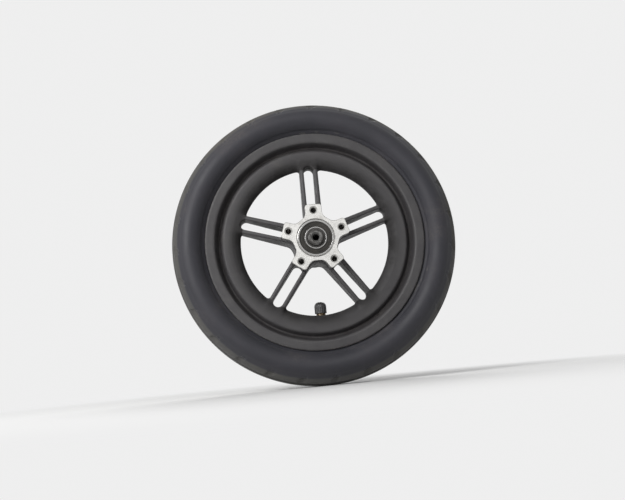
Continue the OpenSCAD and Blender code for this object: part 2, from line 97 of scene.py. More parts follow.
class Line(Enum):
    """The two straight lines that the round pieces stand on."""

    AXLE = "axle"
    VALVE = "valve"

    def place(self, radius: np.ndarray, angle: np.ndarray, along: np.ndarray) -> np.ndarray:
        """Points of the wheel's frame, in metres, on the grid that the three arrays span.

        Args:
            radius: distance from the line, in millimetres.
            angle: turn about the line, in radians.
            along: height on the axle, or distance from the wheel's axis on the valve.

        Returns:
            An array with a last axis of x, y and z.
        """
        radius, angle, along = np.broadcast_arrays(radius, angle, along)
        across, up = radius * np.cos(angle), radius * np.sin(angle)
        if self is Line.AXLE:
            return np.stack([across, -along, up], -1) * MM
        return np.stack([across, up, -along], -1) * MM


def rounded(corners: Sequence[Corner], step: float = 8.0, closed: bool = True) -> np.ndarray:
    """Outline through corners, each rounded to its own radius.

    Args:
        corners: x, y and radius of each corner.
        step: largest turn between two points of a rounding, in degrees.
        closed: whether the last corner joins the first.

    Returns:
        The outline's points, one row each.
    """
    spots = np.array([c[:2] for c in corners], float)
    radii = np.array([c[2] for c in corners], float)
    if not closed:
        radii[[0, -1]] = 0.0
    before, after = np.roll(spots, 1, 0) - spots, np.roll(spots, -1, 0) - spots
    long_before, long_after = np.linalg.norm(before, axis=1), np.linalg.norm(after, axis=1)
    u, v = before / long_before[:, None], after / long_after[:, None]
    half = np.arccos(np.clip((u * v).sum(1), -1, 1)) / 2
    straight = half > STRAIGHT
    use = np.where(straight, 0, radii / np.tan(half))
    share = SIDE_SHARE * long_after / np.maximum(TINY, use + np.roll(use, -1))
    radii = radii * np.minimum(1, np.minimum(share, np.roll(share, 1)))
    points: list[np.ndarray] = []
    for i, spot in enumerate(spots):
        if radii[i] == 0 or straight[i]:
            points.append(spot)
            continue
        inward = (u[i] + v[i]) / np.linalg.norm(u[i] + v[i])
        centre = spot + inward * radii[i] / math.sin(half[i])
        start = spot + u[i] * radii[i] / math.tan(half[i]) - centre
        sign = -1 if u[i][0] * v[i][1] - u[i][1] * v[i][0] > 0 else 1
        turn = (math.pi - 2 * half[i]) * sign
        parts = max(2, math.ceil(abs(math.degrees(turn)) / step - TINY))
        for a in np.linspace(0, turn, parts + 1):
            spin = np.array([[math.cos(a), -math.sin(a)], [math.sin(a), math.cos(a)]])
            points.append(centre + spin @ start)
    return np.array(points)


def mirrored(half: Sequence[Corner]) -> list[Corner]:
    """The corners of a half outline, followed by their mirror images below height 0."""
    return [*half, *[(x, -y, r) for x, y, r in reversed(half)]]


def filled_in(outline: np.ndarray, longest: float, closed: bool = True) -> np.ndarray:
    """The same outline with points added so that no side is longer than a given length.

    Args:
        outline: points, one row each.
        longest: longest side allowed.
        closed: whether the last point joins the first.

    Returns:
        The finer outline.
    """
    points: list[np.ndarray] = []
    ends = np.roll(outline, -1, 0)
    for i, (a, b) in enumerate(zip(outline, ends)):
        if not closed and i == len(outline) - 1:
            points.append(a)
            break
        parts = max(1, math.ceil(np.linalg.norm(b - a) / longest - TINY))
        points.extend(a + (b - a) * k / parts for k in range(parts))
    return np.array(points)


def make_object(name: str, points: np.ndarray, faces: Sequence[Sequence[int]],
                sharp: float = SHARP) -> Piece:
    """A smooth-shaded object whose place is in its mesh.

    Args:
        name: the object's name.
        points: places in metres, one row each.
        faces: corner numbers of each face.
        sharp: edges that bend by more than this many degrees stay sharp.

    Returns:
        The new object, linked to the scene.
    """
    mesh = bpy.data.meshes.new(name)
    mesh.from_pydata(points.tolist(), [], [list(map(int, f)) for f in faces])
    work = bmesh.new()
    work.from_mesh(mesh)
    bmesh.ops.remove_doubles(work, verts=work.verts, dist=WELD)
    bmesh.ops.dissolve_degenerate(work, edges=work.edges, dist=SLIVER)
    bmesh.ops.recalc_face_normals(work, faces=work.faces)
    work.to_mesh(mesh)
    work.free()
    mesh.shade_smooth()
    mesh.set_sharp_from_angle(angle=math.radians(sharp))
    made = bpy.data.objects.new(name, mesh)
    bpy.context.scene.collection.objects.link(made)
    return made


def grid_faces(rows: int, columns: int, close_rows: bool, close_columns: bool) -> np.ndarray:
    """Quads over a grid of points that is stored row by row.

    Args:
        rows: number of rows.
        columns: number of points in a row.
        close_rows: whether the last row joins the first.
        close_columns: whether the last column joins the first.

    Returns:
        The corner numbers of each quad.
    """
    r = np.arange(rows if close_rows else rows - 1)
    c = np.arange(columns if close_columns else columns - 1)
    r, c = (g.ravel() for g in np.meshgrid(r, c, indexing="ij"))
    r2, c2 = (r + 1) % rows, (c + 1) % columns
    return np.stack([r * columns + c, r2 * columns + c, r2 * columns + c2, r * columns + c2], -1)


def turned(name: str, outline: np.ndarray) -> Piece:
    """A piece that is turned about the axle.

    Args:
        name: the object's name.
        outline: radius and height of each point.

    Returns:
        The new object.
    """
    points = Line.AXLE.place(outline[:, 0], angles(TURN_STEPS)[:, None], outline[:, 1])
    faces = grid_faces(TURN_STEPS, len(outline), True, True)
    return make_object(name, points.reshape(-1, 3), faces)


def plugged(rings: Sequence[np.ndarray]) -> Skin:
    """A tube over rings of points, closed by a flat face at each end.

    Args:
        rings: the rings in order, each with the same number of points.

    Returns:
        Points in metres and the corner numbers of the faces.
    """
    steps, last = len(rings[0]), len(rings[0]) * (len(rings) - 1)
    quads = grid_faces(len(rings), steps, False, True).tolist()
    return np.concatenate(rings), [*quads, list(range(steps)), list(range(last, last + steps))]


def shell(name: str, skins: Sequence[Skin], sharp: float) -> Piece:
    """One object made of several skins that share their rims.

    Args:
        name: the object's name.
        skins: points and faces of each skin.
        sharp: angle from which edges stay sharp, in degrees.

    Returns:
        The new object.
    """
    points, faces, start = [], [], 0
    for places, corners in skins:
        points.append(places)
        faces.extend([start + int(c) for c in face] for face in corners)
        start += len(places)
    return make_object(name, np.concatenate(points), faces, sharp)


# Shapes given by a distance


def outline_distance(points: np.ndarray, outline: np.ndarray) -> np.ndarray:
    """Distance of points from a closed outline, negative inside it.

    Args:
        points: places, one row of two numbers each.
        outline: the outline's points.

    Returns:
        One distance per point.
    """
    px, py = points[:, 0], points[:, 1]
    best = np.full(len(points), np.inf)
    inside = np.zeros(len(points), bool)
    for a, b in zip(outline, np.roll(outline, -1, 0)):
        ex, ey = b - a
        wx, wy = px - a[0], py - a[1]
        t = np.clip((wx * ex + wy * ey) / (ex * ex + ey * ey + NEVER_ZERO), 0, 1)
        best = np.minimum(best, (wx - t * ex) ** 2 + (wy - t * ey) ** 2)
        if a[1] != b[1]:
            inside ^= ((a[1] > py) != (b[1] > py)) & (wx < ex * wy / ey)
    return np.where(inside, -1, 1) * np.sqrt(best)


def blend_union(a: np.ndarray, b: np.ndarray, size: float) -> np.ndarray:
    """Distance of two shapes melted together with a fillet of about the given size."""
    h = np.maximum(size - np.abs(a - b), 0) / size
    return np.minimum(a, b) - h * h * size / 4


def blend_common(a: np.ndarray, b: np.ndarray, size: float) -> np.ndarray:
    """Distance of what two shapes have in common, with its new edges rounded."""
    return -blend_union(-a, -b, size)


def round_common(a: np.ndarray, b: np.ndarray, radius: float) -> np.ndarray:
    """Distance of what two shapes have in common, with its outside edges rounded to a radius."""
    x, y = np.maximum(a + radius, 0), np.maximum(b + radius, 0)
    return np.minimum(np.maximum(a, b) + radius, 0) + np.hypot(x, y) - radius


def net_over(places: np.ndarray, values: np.ndarray) -> tuple[np.ndarray, np.ndarray]:
    """Quads over the zero surface of a field on a grid whose first axis closes on itself.

    Args:
        places: grid points, of shape (i, j, k, 3).
        values: the field at those points.

    Returns:
        The points of the net and the corner numbers of its quads.
    """
    inside = values < 0
    ni, nj, nk = values.shape
    corner = [(di, dj, dk) for di in (0, 1) for dj in (0, 1) for dk in (0, 1)]
    full = np.concatenate([inside, inside[:1]], 0)
    count = sum(full[di:di + ni, dj:dj + nj - 1, dk:dk + nk - 1].astype(np.int8)
                for di, dj, dk in corner)
    cells = np.argwhere((count > 0) & (count < len(corner)))
    number = np.full((ni, nj - 1, nk - 1), -1, np.int64)
    number[tuple(cells.T)] = np.arange(len(cells))
    at = [((cells[:, 0] + d[0]) % ni, cells[:, 1] + d[1], cells[:, 2] + d[2]) for d in corner]
    spot, value = [places[a] for a in at], [values[a] for a in at]
    total, crossings = np.zeros((len(cells), 3)), np.zeros(len(cells))
    for p in range(len(corner)):
        for q in range(p + 1, len(corner)):
            if sum(abs(x - y) for x, y in zip(corner[p], corner[q])) != 1:
                continue
            cut = (value[p] < 0) != (value[q] < 0)
            share = np.where(cut, value[p] / np.where(cut, value[p] - value[q], 1), 0)
            total += np.where(cut[:, None], spot[p] + share[:, None] * (spot[q] - spot[p]), 0)
            crossings += cut
    quads: list[np.ndarray] = []
    for axis in range(3):
        change = inside != np.roll(inside, -1, axis)
        if axis:
            change[(slice(None),) * axis + (-1,)] = False
        found = np.argwhere(change)
        b, c = [x for x in range(3) if x != axis]
        around = []
        for db, dc in ((-1, -1), (0, -1), (0, 0), (-1, 0)):
            cell = found.copy()
            cell[:, b] += db
            cell[:, c] += dc
            cell[:, 0] %= ni
            around.append(cell)
        room = (nj - 1, nk - 1)
        good = np.all([((g[:, 1:] >= 0) & (g[:, 1:] < room)).all(1) for g in around], 0)
        quad = np.stack([number[tuple(g[good].T)] for g in around], -1)
        quads.append(quad[(quad >= 0).all(1)])
    return total / crossings[:, None], np.concatenate(quads)


def settle(points: np.ndarray, quads: np.ndarray,
           distance: Callable[[np.ndarray], np.ndarray], rounds: int) -> np.ndarray:
    """Spreads a net's points evenly and lays them onto the surface that it follows.

    Args:
        points: the net's points.
        quads: corner numbers of its quads.
        distance: the field that is zero on the surface.
        rounds: how often the points are spread and laid on.

    Returns:
        The new points.
    """
    probe, passes, least_slope, furthest, ease = 0.02, 2, 0.05, 0.8, 0.5
    edges = np.concatenate([quads[:, [a, (a + 1) % 4]] for a in range(4)])
    for turn in range(rounds + 1):
        for _ in range(passes):
            here = distance(points)
            ahead = [distance(points + probe * axis) for axis in np.eye(3)]
            slope = np.stack([there - here for there in ahead], -1) / probe
            size = np.maximum((slope * slope).sum(1), least_slope)
            points = points - np.clip(here / size, -furthest, furthest)[:, None] * slope
        if turn < rounds:
            mean, degree = np.zeros_like(points), np.zeros(len(points))
            for a, b in ((0, 1), (1, 0)):
                np.add.at(mean, edges[:, a], points[edges[:, b]])
                np.add.at(degree, edges[:, a], 1)
            points = points + ease * (mean / degree[:, None] - points)
    return points


# Threads


def helix(low: float, high: float, minor: float, major: float, pitch: float,
          steps: int) -> tuple[np.ndarray, ...]:
    """A screw thread between two places on its line.

    Args:
        low: place of the first turn.
        high: place of the last turn.
        minor: radius at the roots.
        major: radius at the crests.
        pitch: distance between turns.
        steps: number of places around.

    Returns:
        Radius, angle and place along the line, as grids of rows by steps.
    """
    rows = max(THREAD_ROWS, round((high - low) / pitch * THREAD_ROWS))
    along, angle = np.meshgrid(np.linspace(low, high, rows + 1), angles(steps), indexing="ij")
    wave = 1 - np.abs(2 * ((along / pitch - angle / (2 * math.pi)) % 1) - 1)
    ends = np.clip(np.minimum(along - low, high - along) / pitch, 0, 1)
    return minor + (major - minor) * wave * ends, angle, along


@dataclass
class TappedHole:
    """A blind threaded hole that runs along the axle's direction."""

    mouth: float
    minor: float
    major: float
    pitch: float
    depth: float
    steps: int = 40
    tip_rings: Sequence[float] = (0.66, 0.33, 0.004)
    tip_slope: float = 0.6

    def skin(self, face: float, inward: float, x: float = 0.0, z: float = 0.0) -> Skin:
        """The hole's inside, from its mouth to the drill point.

        Args:
            face: height of the face that it opens in.
            inward: 1 if it runs towards lower heights, -1 if towards higher ones.
            x: sideways place of its middle.
            z: upward place of its middle.

        Returns:
            Points in metres and the corner numbers of the faces. The first ring is the mouth.
        """
        sink = self.mouth - self.minor
        radius, angle, along = helix(sink, self.depth, self.minor, self.major, self.pitch,
                                     self.steps)
        level = np.ones((1, self.steps))
        tip = self.minor * np.array(self.tip_rings)[:, None]
        point = self.depth + self.tip_slope * (self.minor - tip)
        radius = np.concatenate([self.mouth * level, radius, tip * level])
        along = np.concatenate([0 * level, along, point * level])
        points = Line.AXLE.place(radius, angle[:1], face - inward * along)
        points = points + np.array([x, 0, z]) * MM
        quads = grid_faces(len(radius), self.steps, False, True).tolist()
        end = list(range(radius.size - self.steps, radius.size))
        return points.reshape(-1, 3), [*quads, end]


# Effects that several finishes share


class Nodes:
    """Short calls for drawing one node tree."""

    def __init__(self, tree: Tree) -> None:
        """Starts with the tree that is drawn in."""
        self.tree = tree

    def add(self, kind: str, inputs: dict[str | int, object] | None = None,
            **settings: object) -> Node:
        """A new node.

        Args:
            kind: the node's type.
            inputs: a value or a socket for each named input.
            settings: the node's own properties.

        Returns:
            The node.
        """
        node = self.tree.nodes.new(kind)
        for key, value in settings.items():
            setattr(node, key, value)
        for key, value in (inputs or {}).items():
            self.put(value, node.inputs[key])
        return node

    def put(self, value: object, socket: Socket) -> None:
        """Links a socket, or writes a constant, into an input.

        Args:
            value: the socket or the constant.
            socket: the input that takes it.
        """
        if isinstance(value, Socket):
            self.tree.links.new(value, socket)
        else:
            socket.default_value = value

    def sum(self, how: str, a: object, b: object, clamp: bool = False) -> Socket:
        """The result of one step of arithmetic."""
        step = self.add("ShaderNodeMath", {0: a, 1: b}, operation=how, use_clamp=clamp)
        return step.outputs[0]

    def times(self, a: object, b: object) -> Socket:
        """The product of two values."""
        return self.sum("MULTIPLY", a, b)

    def span(self, value: object, low: object, high: object, start: float = 0.0,
             end: float = 1.0) -> Socket:
        """A value moved smoothly from one range into another."""
        ranges = {"From Min": low, "From Max": high, "To Min": start, "To Max": end}
        return self.add("ShaderNodeMapRange", {"Value": value, **ranges},
                        interpolation_type="SMOOTHSTEP").outputs[0]

    def mix(self, share: object, a: object, b: object) -> Socket:
        """A colour between two others."""
        return self.add("ShaderNodeMix", {0: share, 6: a, 7: b}, data_type="RGBA").outputs[2]

    def bump(self, height: Socket, depth: float, normal: Socket | None = None) -> Socket:
        """The normal of a surface that a height raises.

        Args:
            height: the height, from 0 to 1.
            depth: how far a height of 1 stands out, in metres.
            normal: the normal that is changed, or none for the surface's own.

        Returns:
            The new normal.
        """
        inputs = {"Height": height, "Distance": depth, "Strength": 1.0}
        if normal is not None:
            inputs["Normal"] = normal
        return self.add("ShaderNodeBump", inputs).outputs[0]

    def place(self, tree: Tree, values: dict[str, object]) -> Socket:
        """A node group, placed here with its own values.

        Args:
            tree: the group.
            values: a value or a socket for each of its inputs.

        Returns:
            The group's first output.
        """
        node = self.add("ShaderNodeGroup", node_tree=tree)
        for key, value in values.items():
            self.put(value, node.inputs[key])
        return node.outputs[0]

    def off_axle(self, where: object) -> Socket:
        """Distance of a place from the axle's line.

        Args:
            where: the place on the surface.

        Returns:
            The distance in metres.
        """
        part = self.add("ShaderNodeSeparateXYZ", {0: where}).outputs
        flat = self.add("ShaderNodeCombineXYZ", {0: part["X"], 1: part["Z"]}).outputs[0]
        return self.add("ShaderNodeVectorMath", {0: flat}, operation="LENGTH").outputs["Value"]

    def noise(self, where: object, scale: object, detail: float = 3.0,
              rough: float = 0.55) -> Socket:
        """A cloudy value from 0 to 1."""
        inputs = {"Vector": where, "Scale": scale, "Detail": detail, "Roughness": rough}
        return self.add("ShaderNodeTexNoise", inputs).outputs["Fac"]


class Effects:
    """The node groups that the finishes share, each built once."""

    def __init__(self) -> None:
        """Builds every group."""
        self.grain = self._group("FineGrain", {"Scale": 900.0}, "Height", self._draw_grain)
        self.clouds = self._group("Clouds", {"Scale": 60.0}, "Value", self._draw_clouds)
        self.wear = self._group("EdgeWear", {"Reach": 0.06, "Scale": 400.0}, "Mask",
                                self._draw_wear)
        self.dust = self._group("Dust", {"Scale": 120.0, "Cover": 0.5}, "Mask", self._draw_dust)
        self.turning = self._group("TurningLines", {"Lines": 2600.0}, "Height",
                                   self._draw_turning)

    @staticmethod
    def _group(name: str, inputs: dict[str, float], output: str,
               draw: Callable[[Nodes, dict[str, Socket]], Socket]) -> Tree:
        """A node group with one output.

        Args:
            name: the group's name.
            inputs: names and default values of its inputs, next to the place on the surface.
            output: the name of its output.
            draw: the function that draws its nodes and gives the result.

        Returns:
            The new group.
        """
        tree = bpy.data.node_groups.new(name, "ShaderNodeTree")
        tree.interface.new_socket(name="Vector", in_out="INPUT", socket_type="NodeSocketVector")
        for key, value in inputs.items():
            socket = tree.interface.new_socket(name=key, in_out="INPUT",
                                               socket_type="NodeSocketFloat")
            socket.default_value = value
        tree.interface.new_socket(name=output, in_out="OUTPUT", socket_type="NodeSocketFloat")
        nodes = Nodes(tree)
        start, end = nodes.add("NodeGroupInput"), nodes.add("NodeGroupOutput")
        nodes.put(draw(nodes, start.outputs), end.inputs[output])
        return tree

    @staticmethod
    def _draw_grain(nodes: Nodes, given: dict[str, Socket]) -> Socket:
        """Fine pits and bumps of two sizes.

        Args:
            nodes: the group's nodes.
            given: the group's inputs.

        Returns:
            The height, from 0 to 1.
        """
        coarser, fine_part, coarse_part, detail = 0.31, 0.55, 0.45, 2.0
        fine = nodes.noise(given["Vector"], given["Scale"], detail)
        coarse = nodes.noise(given["Vector"], nodes.times(given["Scale"], coarser), detail)
        return nodes.sum("ADD", nodes.times(fine, fine_part), nodes.times(coarse, coarse_part))

    @staticmethod
    def _draw_clouds(nodes: Nodes, given: dict[str, Socket]) -> Socket:
        """Soft patches, spread over the whole range from 0 to 1.

        Args:
            nodes: the group's nodes.
            given: the group's inputs.

        Returns:
            The cloudy value.
        """
        darkest, lightest = 0.32, 0.68
        cloud = nodes.noise(given["Vector"], given["Scale"], detail=5.0, rough=0.6)
        return nodes.span(cloud, darkest, lightest)

    @staticmethod
    def _draw_wear(nodes: Nodes, given: dict[str, Socket]) -> Socket:
        """Rubbed outside edges, broken up by noise.

        Args:
            nodes: the group's nodes.
            given: the group's inputs.

        Returns:
            The share of wear, from 0 to 1.
        """
        flat, middle, broken, first = 0.5, 0.5, 0.12, 0.4
        edge = nodes.add("ShaderNodeNewGeometry").outputs["Pointiness"]
        rough = nodes.noise(given["Vector"], given["Scale"], detail=4.0, rough=0.65)
        lift = nodes.times(nodes.sum("SUBTRACT", rough, middle), broken)
        rise = nodes.sum("ADD", nodes.sum("SUBTRACT", edge, flat), lift)
        return nodes.span(rise, nodes.times(given["Reach"], first), given["Reach"])

    @staticmethod
    def _draw_dust(nodes: Nodes, given: dict[str, Socket]) -> Socket:
        """Dust in hollows, on upward faces and in speckled patches.

        Args:
            nodes: the group's nodes.
            given: the group's inputs.

        Returns:
            The share of dust, from 0 to 1.
        """
        patch_size, speck_size, upward, in_hollows = 0.25, 6.0, 0.08, 0.45
        bare, covered, flat, deep = 0.95, 1.2, 0.5, 0.42
        gap, grain, thinnest = 0.35, 0.62, 0.25
        shape = nodes.add("ShaderNodeNewGeometry").outputs
        patch = nodes.noise(given["Vector"], nodes.times(given["Scale"], patch_size),
                            detail=4.0, rough=0.6)
        speck = nodes.noise(given["Vector"], nodes.times(given["Scale"], speck_size),
                            detail=2.0, rough=0.5)
        up = nodes.add("ShaderNodeSeparateXYZ", {0: shape["Normal"]}).outputs["Z"]
        hollow = nodes.span(shape["Pointiness"], flat, deep)
        spread = nodes.span(nodes.sum("ADD", patch, nodes.times(up, upward)),
                            nodes.sum("SUBTRACT", bare, given["Cover"]),
                            nodes.sum("SUBTRACT", covered, given["Cover"]))
        broken = nodes.times(spread, nodes.span(speck, gap, grain, thinnest, 1.0))
        return nodes.sum("ADD", broken, nodes.times(hollow, in_hollows), True)

    @staticmethod
    def _draw_turning(nodes: Nodes, given: dict[str, Socket]) -> Socket:
        """Fine rings about the axle, left by a lathe tool.

        Args:
            nodes: the group's nodes.
            given: the group's inputs.

        Returns:
            The height, from 0 to 1.
        """
        inputs = {"W": nodes.off_axle(given["Vector"]), "Scale": given["Lines"],
                  "Detail": 2.0, "Roughness": 0.6}
        return nodes.add("ShaderNodeTexNoise", inputs, noise_dimensions="1D").outputs["Fac"]


@dataclass(frozen=True)
class RingMark:
    """A ring of another colour: painted shade in a groove or by the window edge, or the scuffed
    band of a tread.

    The mark rises between the distances start and full from the axle, falls between low and gone,
    and lies only in front of the place called front.
    """

    start: float
    full: float
    low: float
    gone: float
    most: float
    colour: Colour
    front: float = 1.0
    front_edge: float = 0.001
    rougher: float = 0.3
    thinned: float = 0.75

    def cover(self, nodes: Nodes, where: Socket, cloud: Socket) -> Socket:
        """How much of the mark lies on a place.

        Args:
            nodes: the material's nodes.
            where: the place on the surface.
            cloud: a cloudy value that thins the mark in patches.

        Returns:
            A value from 0 to 1.
        """
        reach = nodes.off_axle(where)
        along = nodes.add("ShaderNodeSeparateXYZ", {0: where}).outputs["Y"]
        share = nodes.times(nodes.span(reach, self.start, self.full, 0.0, self.most),
                            nodes.span(reach, self.low, self.gone, 1.0, 0.0))
        before = nodes.span(along, self.front, self.front + self.front_edge, 1.0, 0.0)
        return nodes.times(nodes.times(share, before), nodes.span(cloud, 0, 1, self.thinned, 1.0))


@dataclass(frozen=True)
class Finish:
    """What a surface is made of, how it has aged, and any rings of painted shade on it."""

    name: str
    slot: str
    colour: Colour
    other: Colour
    roughness: float
    metallic: float = 0.0
    level: float = 0.5
    cloud_scale: float = 45.0
    rough_spread: float = 0.08
    grain_scale: float = 900.0
    grain_depth: float = 0.00004
    turning: float = 0.0
    turning_depth: float = 0.000006
    wear: float = 0.0
    wear_scale: float = 420.0
    wear_reach: float = 0.06
    wear_colour: Colour = (0.5, 0.5, 0.5)
    dust: float = 0.0
    dust_scale: float = 120.0
    dust_cover: float = 0.5
    dust_colour: Colour = (0.32, 0.29, 0.25)
    dust_rougher: float = 0.25
    sheen: float = 0.0
    marks: Sequence[RingMark] = ()

    def material(self, effects: Effects) -> bpy.types.Material:
        """The finish as a Blender material.

        Args:
            effects: the shared node groups.

        Returns:
            The new material.
        """
        made = bpy.data.materials.new(self.name)
        made.use_nodes = True
        made.diffuse_color = (*self.colour, 1.0)
        nodes = Nodes(made.node_tree)
        shader = made.node_tree.nodes["Principled BSDF"]
        where = nodes.add("ShaderNodeTexCoord").outputs["Object"]

        def placed(tree: Tree, **values: float) -> Socket:
            """The output of a shared group, placed here with its own values."""
            return nodes.place(tree, {"Vector": where, **values})

        cloud = placed(effects.clouds, Scale=self.cloud_scale)
        colour = nodes.mix(cloud, (*self.colour, 1), (*self.other, 1))
        rough = nodes.span(cloud, 0, 1, self.roughness - self.rough_spread,
                           self.roughness + self.rough_spread)
        # Ring marks mix into the colour: painted shade in the rim's groove and by its window edge,
        # and the tread's scuff.
        for mark in self.marks:
            share = mark.cover(nodes, where, cloud)
            colour = nodes.mix(share, colour, (*mark.colour, 1))
            rough = nodes.sum("ADD", rough, nodes.times(share, mark.rougher), True)
        if self.wear:
            worn = placed(effects.wear, Reach=self.wear_reach, Scale=self.wear_scale)
            worn = nodes.times(worn, self.wear)
            colour = nodes.mix(worn, colour, (*self.wear_colour, 1))
        if self.dust:
            dusty = placed(effects.dust, Scale=self.dust_scale, Cover=self.dust_cover)
            dusty = nodes.times(dusty, self.dust)
            colour = nodes.mix(dusty, colour, (*self.dust_colour, 1))
            rough = nodes.sum("ADD", rough, nodes.times(dusty, self.dust_rougher), True)
        normal = nodes.bump(placed(effects.grain, Scale=self.grain_scale), self.grain_depth)
        if self.turning:
            lines = placed(effects.turning, Lines=self.turning)
            normal = nodes.bump(lines, self.turning_depth, normal)
        for key, value in (("Base Color", colour), ("Roughness", rough), ("Normal", normal),
                           ("Metallic", self.metallic), ("Specular IOR Level", self.level),
                           ("Sheen Weight", self.sheen)):
            nodes.put(value, shader.inputs[key])
        return made


# Painted shade: the groove between the rim's shoulder and flange is painted near-black, and made
# rougher, where shade falls in it.
GROOVE_PAINTED_SHADE = RingMark(start=0.0688, full=0.0725, low=0.0752, gone=0.0766, most=0.8,
                        colour=(0.015, 0.013, 0.014), front=-0.010)
# Painted shade: the rim's shoulder is painted near-black at the window edge, fading out towards 70
# mm from the axle.
WEB_PAINTED_SHADE = RingMark(start=0.0555, full=0.0565, low=0.0578, gone=0.0700, most=0.95,
                     colour=(0.015, 0.014, 0.014), front=-0.007)
TREAD_SCUFF = RingMark(start=0.1040, full=0.1052, low=0.2, gone=0.21, most=1.0,
                       colour=(0.066, 0.064, 0.060))
# The rim paint carries both rings of painted shade.
RIM_PAINT = Finish(
    "dark_grey_rim_paint", "rim_paint", (0.050, 0.048, 0.050), (0.060, 0.058, 0.059), 0.5,
    level=0.2, cloud_scale=70.0, grain_scale=1500.0, grain_depth=0.00005,
    wear=0.35, wear_colour=(0.13, 0.125, 0.12),
    dust=0.25, dust_cover=0.42, dust_colour=(0.12, 0.112, 0.10), marks=(GROOVE_PAINTED_SHADE, WEB_PAINTED_SHADE))
MACHINED_ALLOY = Finish(
    "satin_machined_alloy", "machined_alloy", (0.50, 0.49, 0.465), (0.355, 0.347, 0.328), 0.42,
    metallic=1.0, cloud_scale=150.0, grain_scale=2600.0, grain_depth=0.000015,
    turning=1900.0, turning_depth=0.000014,
    wear=0.35, wear_colour=(0.86, 0.86, 0.85),
    dust=0.3, dust_cover=0.35, dust_colour=(0.34, 0.32, 0.29))
# Painted shade: the countersinks are a darker, less metallic alloy than the star face around them.
COUNTERSINK_PAINTED_SHADE = Finish(
    "shade_painted_countersink_alloy", "machined_alloy", (0.42, 0.415, 0.40), (0.30, 0.295, 0.28), 0.5,
    metallic=0.3, cloud_scale=400.0, grain_scale=3000.0, grain_depth=0.00001)
# Painted shade: the bolt holes' threads are a dark alloy, far darker than the face they are cut
# into, for the shade inside the holes.
THREAD_PAINTED_SHADE = Finish(
    "shade_painted_tapped_alloy", "machined_alloy", (0.20, 0.195, 0.185), (0.28, 0.27, 0.26), 0.46,
    metallic=0.7, cloud_scale=400.0, grain_scale=3000.0, grain_depth=0.00001)
TYRE_RUBBER = Finish(
    "matt_black_tyre_rubber", "tyre_rubber", (0.024, 0.024, 0.029), (0.031, 0.030, 0.036), 0.55,
    level=0.25, cloud_scale=30.0, grain_scale=2200.0, grain_depth=0.00005,
    wear=0.5, wear_reach=0.09, wear_colour=(0.075, 0.07, 0.068),
    dust=0.3, dust_cover=0.42, dust_colour=(0.13, 0.115, 0.10), sheen=0.08, marks=(TREAD_SCUFF,))
TUBE_RUBBER = Finish(
    "soft_tube_rubber", "tube_rubber", (0.022, 0.022, 0.024), (0.032, 0.032, 0.033), 0.55,
    grain_scale=700.0, grain_depth=0.00003, dust=0.4, dust_colour=(0.4, 0.4, 0.39))
AXLE_STEEL = Finish(
    "dark_turned_axle_steel", "axle_steel", (0.063, 0.061, 0.059), (0.090, 0.087, 0.083), 0.55,
    metallic=1.0, cloud_scale=220.0, grain_scale=3000.0, grain_depth=0.00001,
    turning=3600.0, turning_depth=0.00001,
    wear=0.4, wear_colour=(0.3, 0.3, 0.29))
BEARING_STEEL = Finish(
    "polished_bearing_steel", "bearing_steel", (0.43, 0.425, 0.415), (0.36, 0.355, 0.347), 0.24,
    metallic=1.0, cloud_scale=120.0, rough_spread=0.05, grain_scale=4000.0, grain_depth=0.000004,
    turning=5000.0)
# The inner races are far darker than the outer races' steel.
INNER_RACE = Finish(
    "darkened_inner_race_steel", "bearing_steel", (0.057, 0.055, 0.053), (0.081, 0.078, 0.075), 0.46,
    metallic=1.0, cloud_scale=160.0, grain_scale=3600.0, grain_depth=0.000006,
    turning=4200.0, turning_depth=0.000008)
CAGE_STEEL = Finish(
    "pressed_cage_steel", "cage_steel", (0.46, 0.45, 0.43), (0.38, 0.37, 0.36), 0.4,
    metallic=1.0, grain_scale=1800.0, grain_depth=0.00001)
SEAL_RUBBER = Finish(
    "bearing_seal_rubber", "seal_rubber", (0.019, 0.018, 0.016), (0.028, 0.026, 0.023), 0.55,
    level=0.2, cloud_scale=200.0, grain_scale=2600.0, grain_depth=0.00002,
    turning=1500.0, turning_depth=0.00002, dust=0.22, dust_colour=(0.12, 0.11, 0.10))
VALVE_BRASS = Finish(
    "tarnished_valve_brass", "valve_brass", (0.40, 0.33, 0.23), (0.24, 0.19, 0.14), 0.36,
    metallic=1.0, cloud_scale=260.0, grain_scale=2400.0, grain_depth=0.00001,
    wear=0.5, wear_colour=(0.66, 0.57, 0.42))
NUT_PLATE = Finish(
    "zinc_plated_nut", "nut_plate", (0.62, 0.62, 0.60), (0.52, 0.53, 0.52), 0.32,
    metallic=1.0, cloud_scale=260.0, grain_scale=2400.0, grain_depth=0.00001,
    wear=0.5, wear_colour=(0.8, 0.8, 0.78))
SPRING_STEEL = Finish(
    "drawn_spring_steel", "spring_steel", (0.55, 0.55, 0.54), (0.47, 0.47, 0.47), 0.28,
    metallic=1.0, grain_scale=3000.0, grain_depth=0.000006)
CAP_PLASTIC = Finish(
    "black_cap_plastic", "cap_plastic", (0.026, 0.026, 0.027), (0.034, 0.034, 0.035), 0.42,
    level=0.4, cloud_scale=200.0, grain_scale=2600.0, grain_depth=0.00002,
    wear=0.5, wear_colour=(0.08, 0.08, 0.08), dust=0.25, dust_colour=(0.16, 0.145, 0.13))


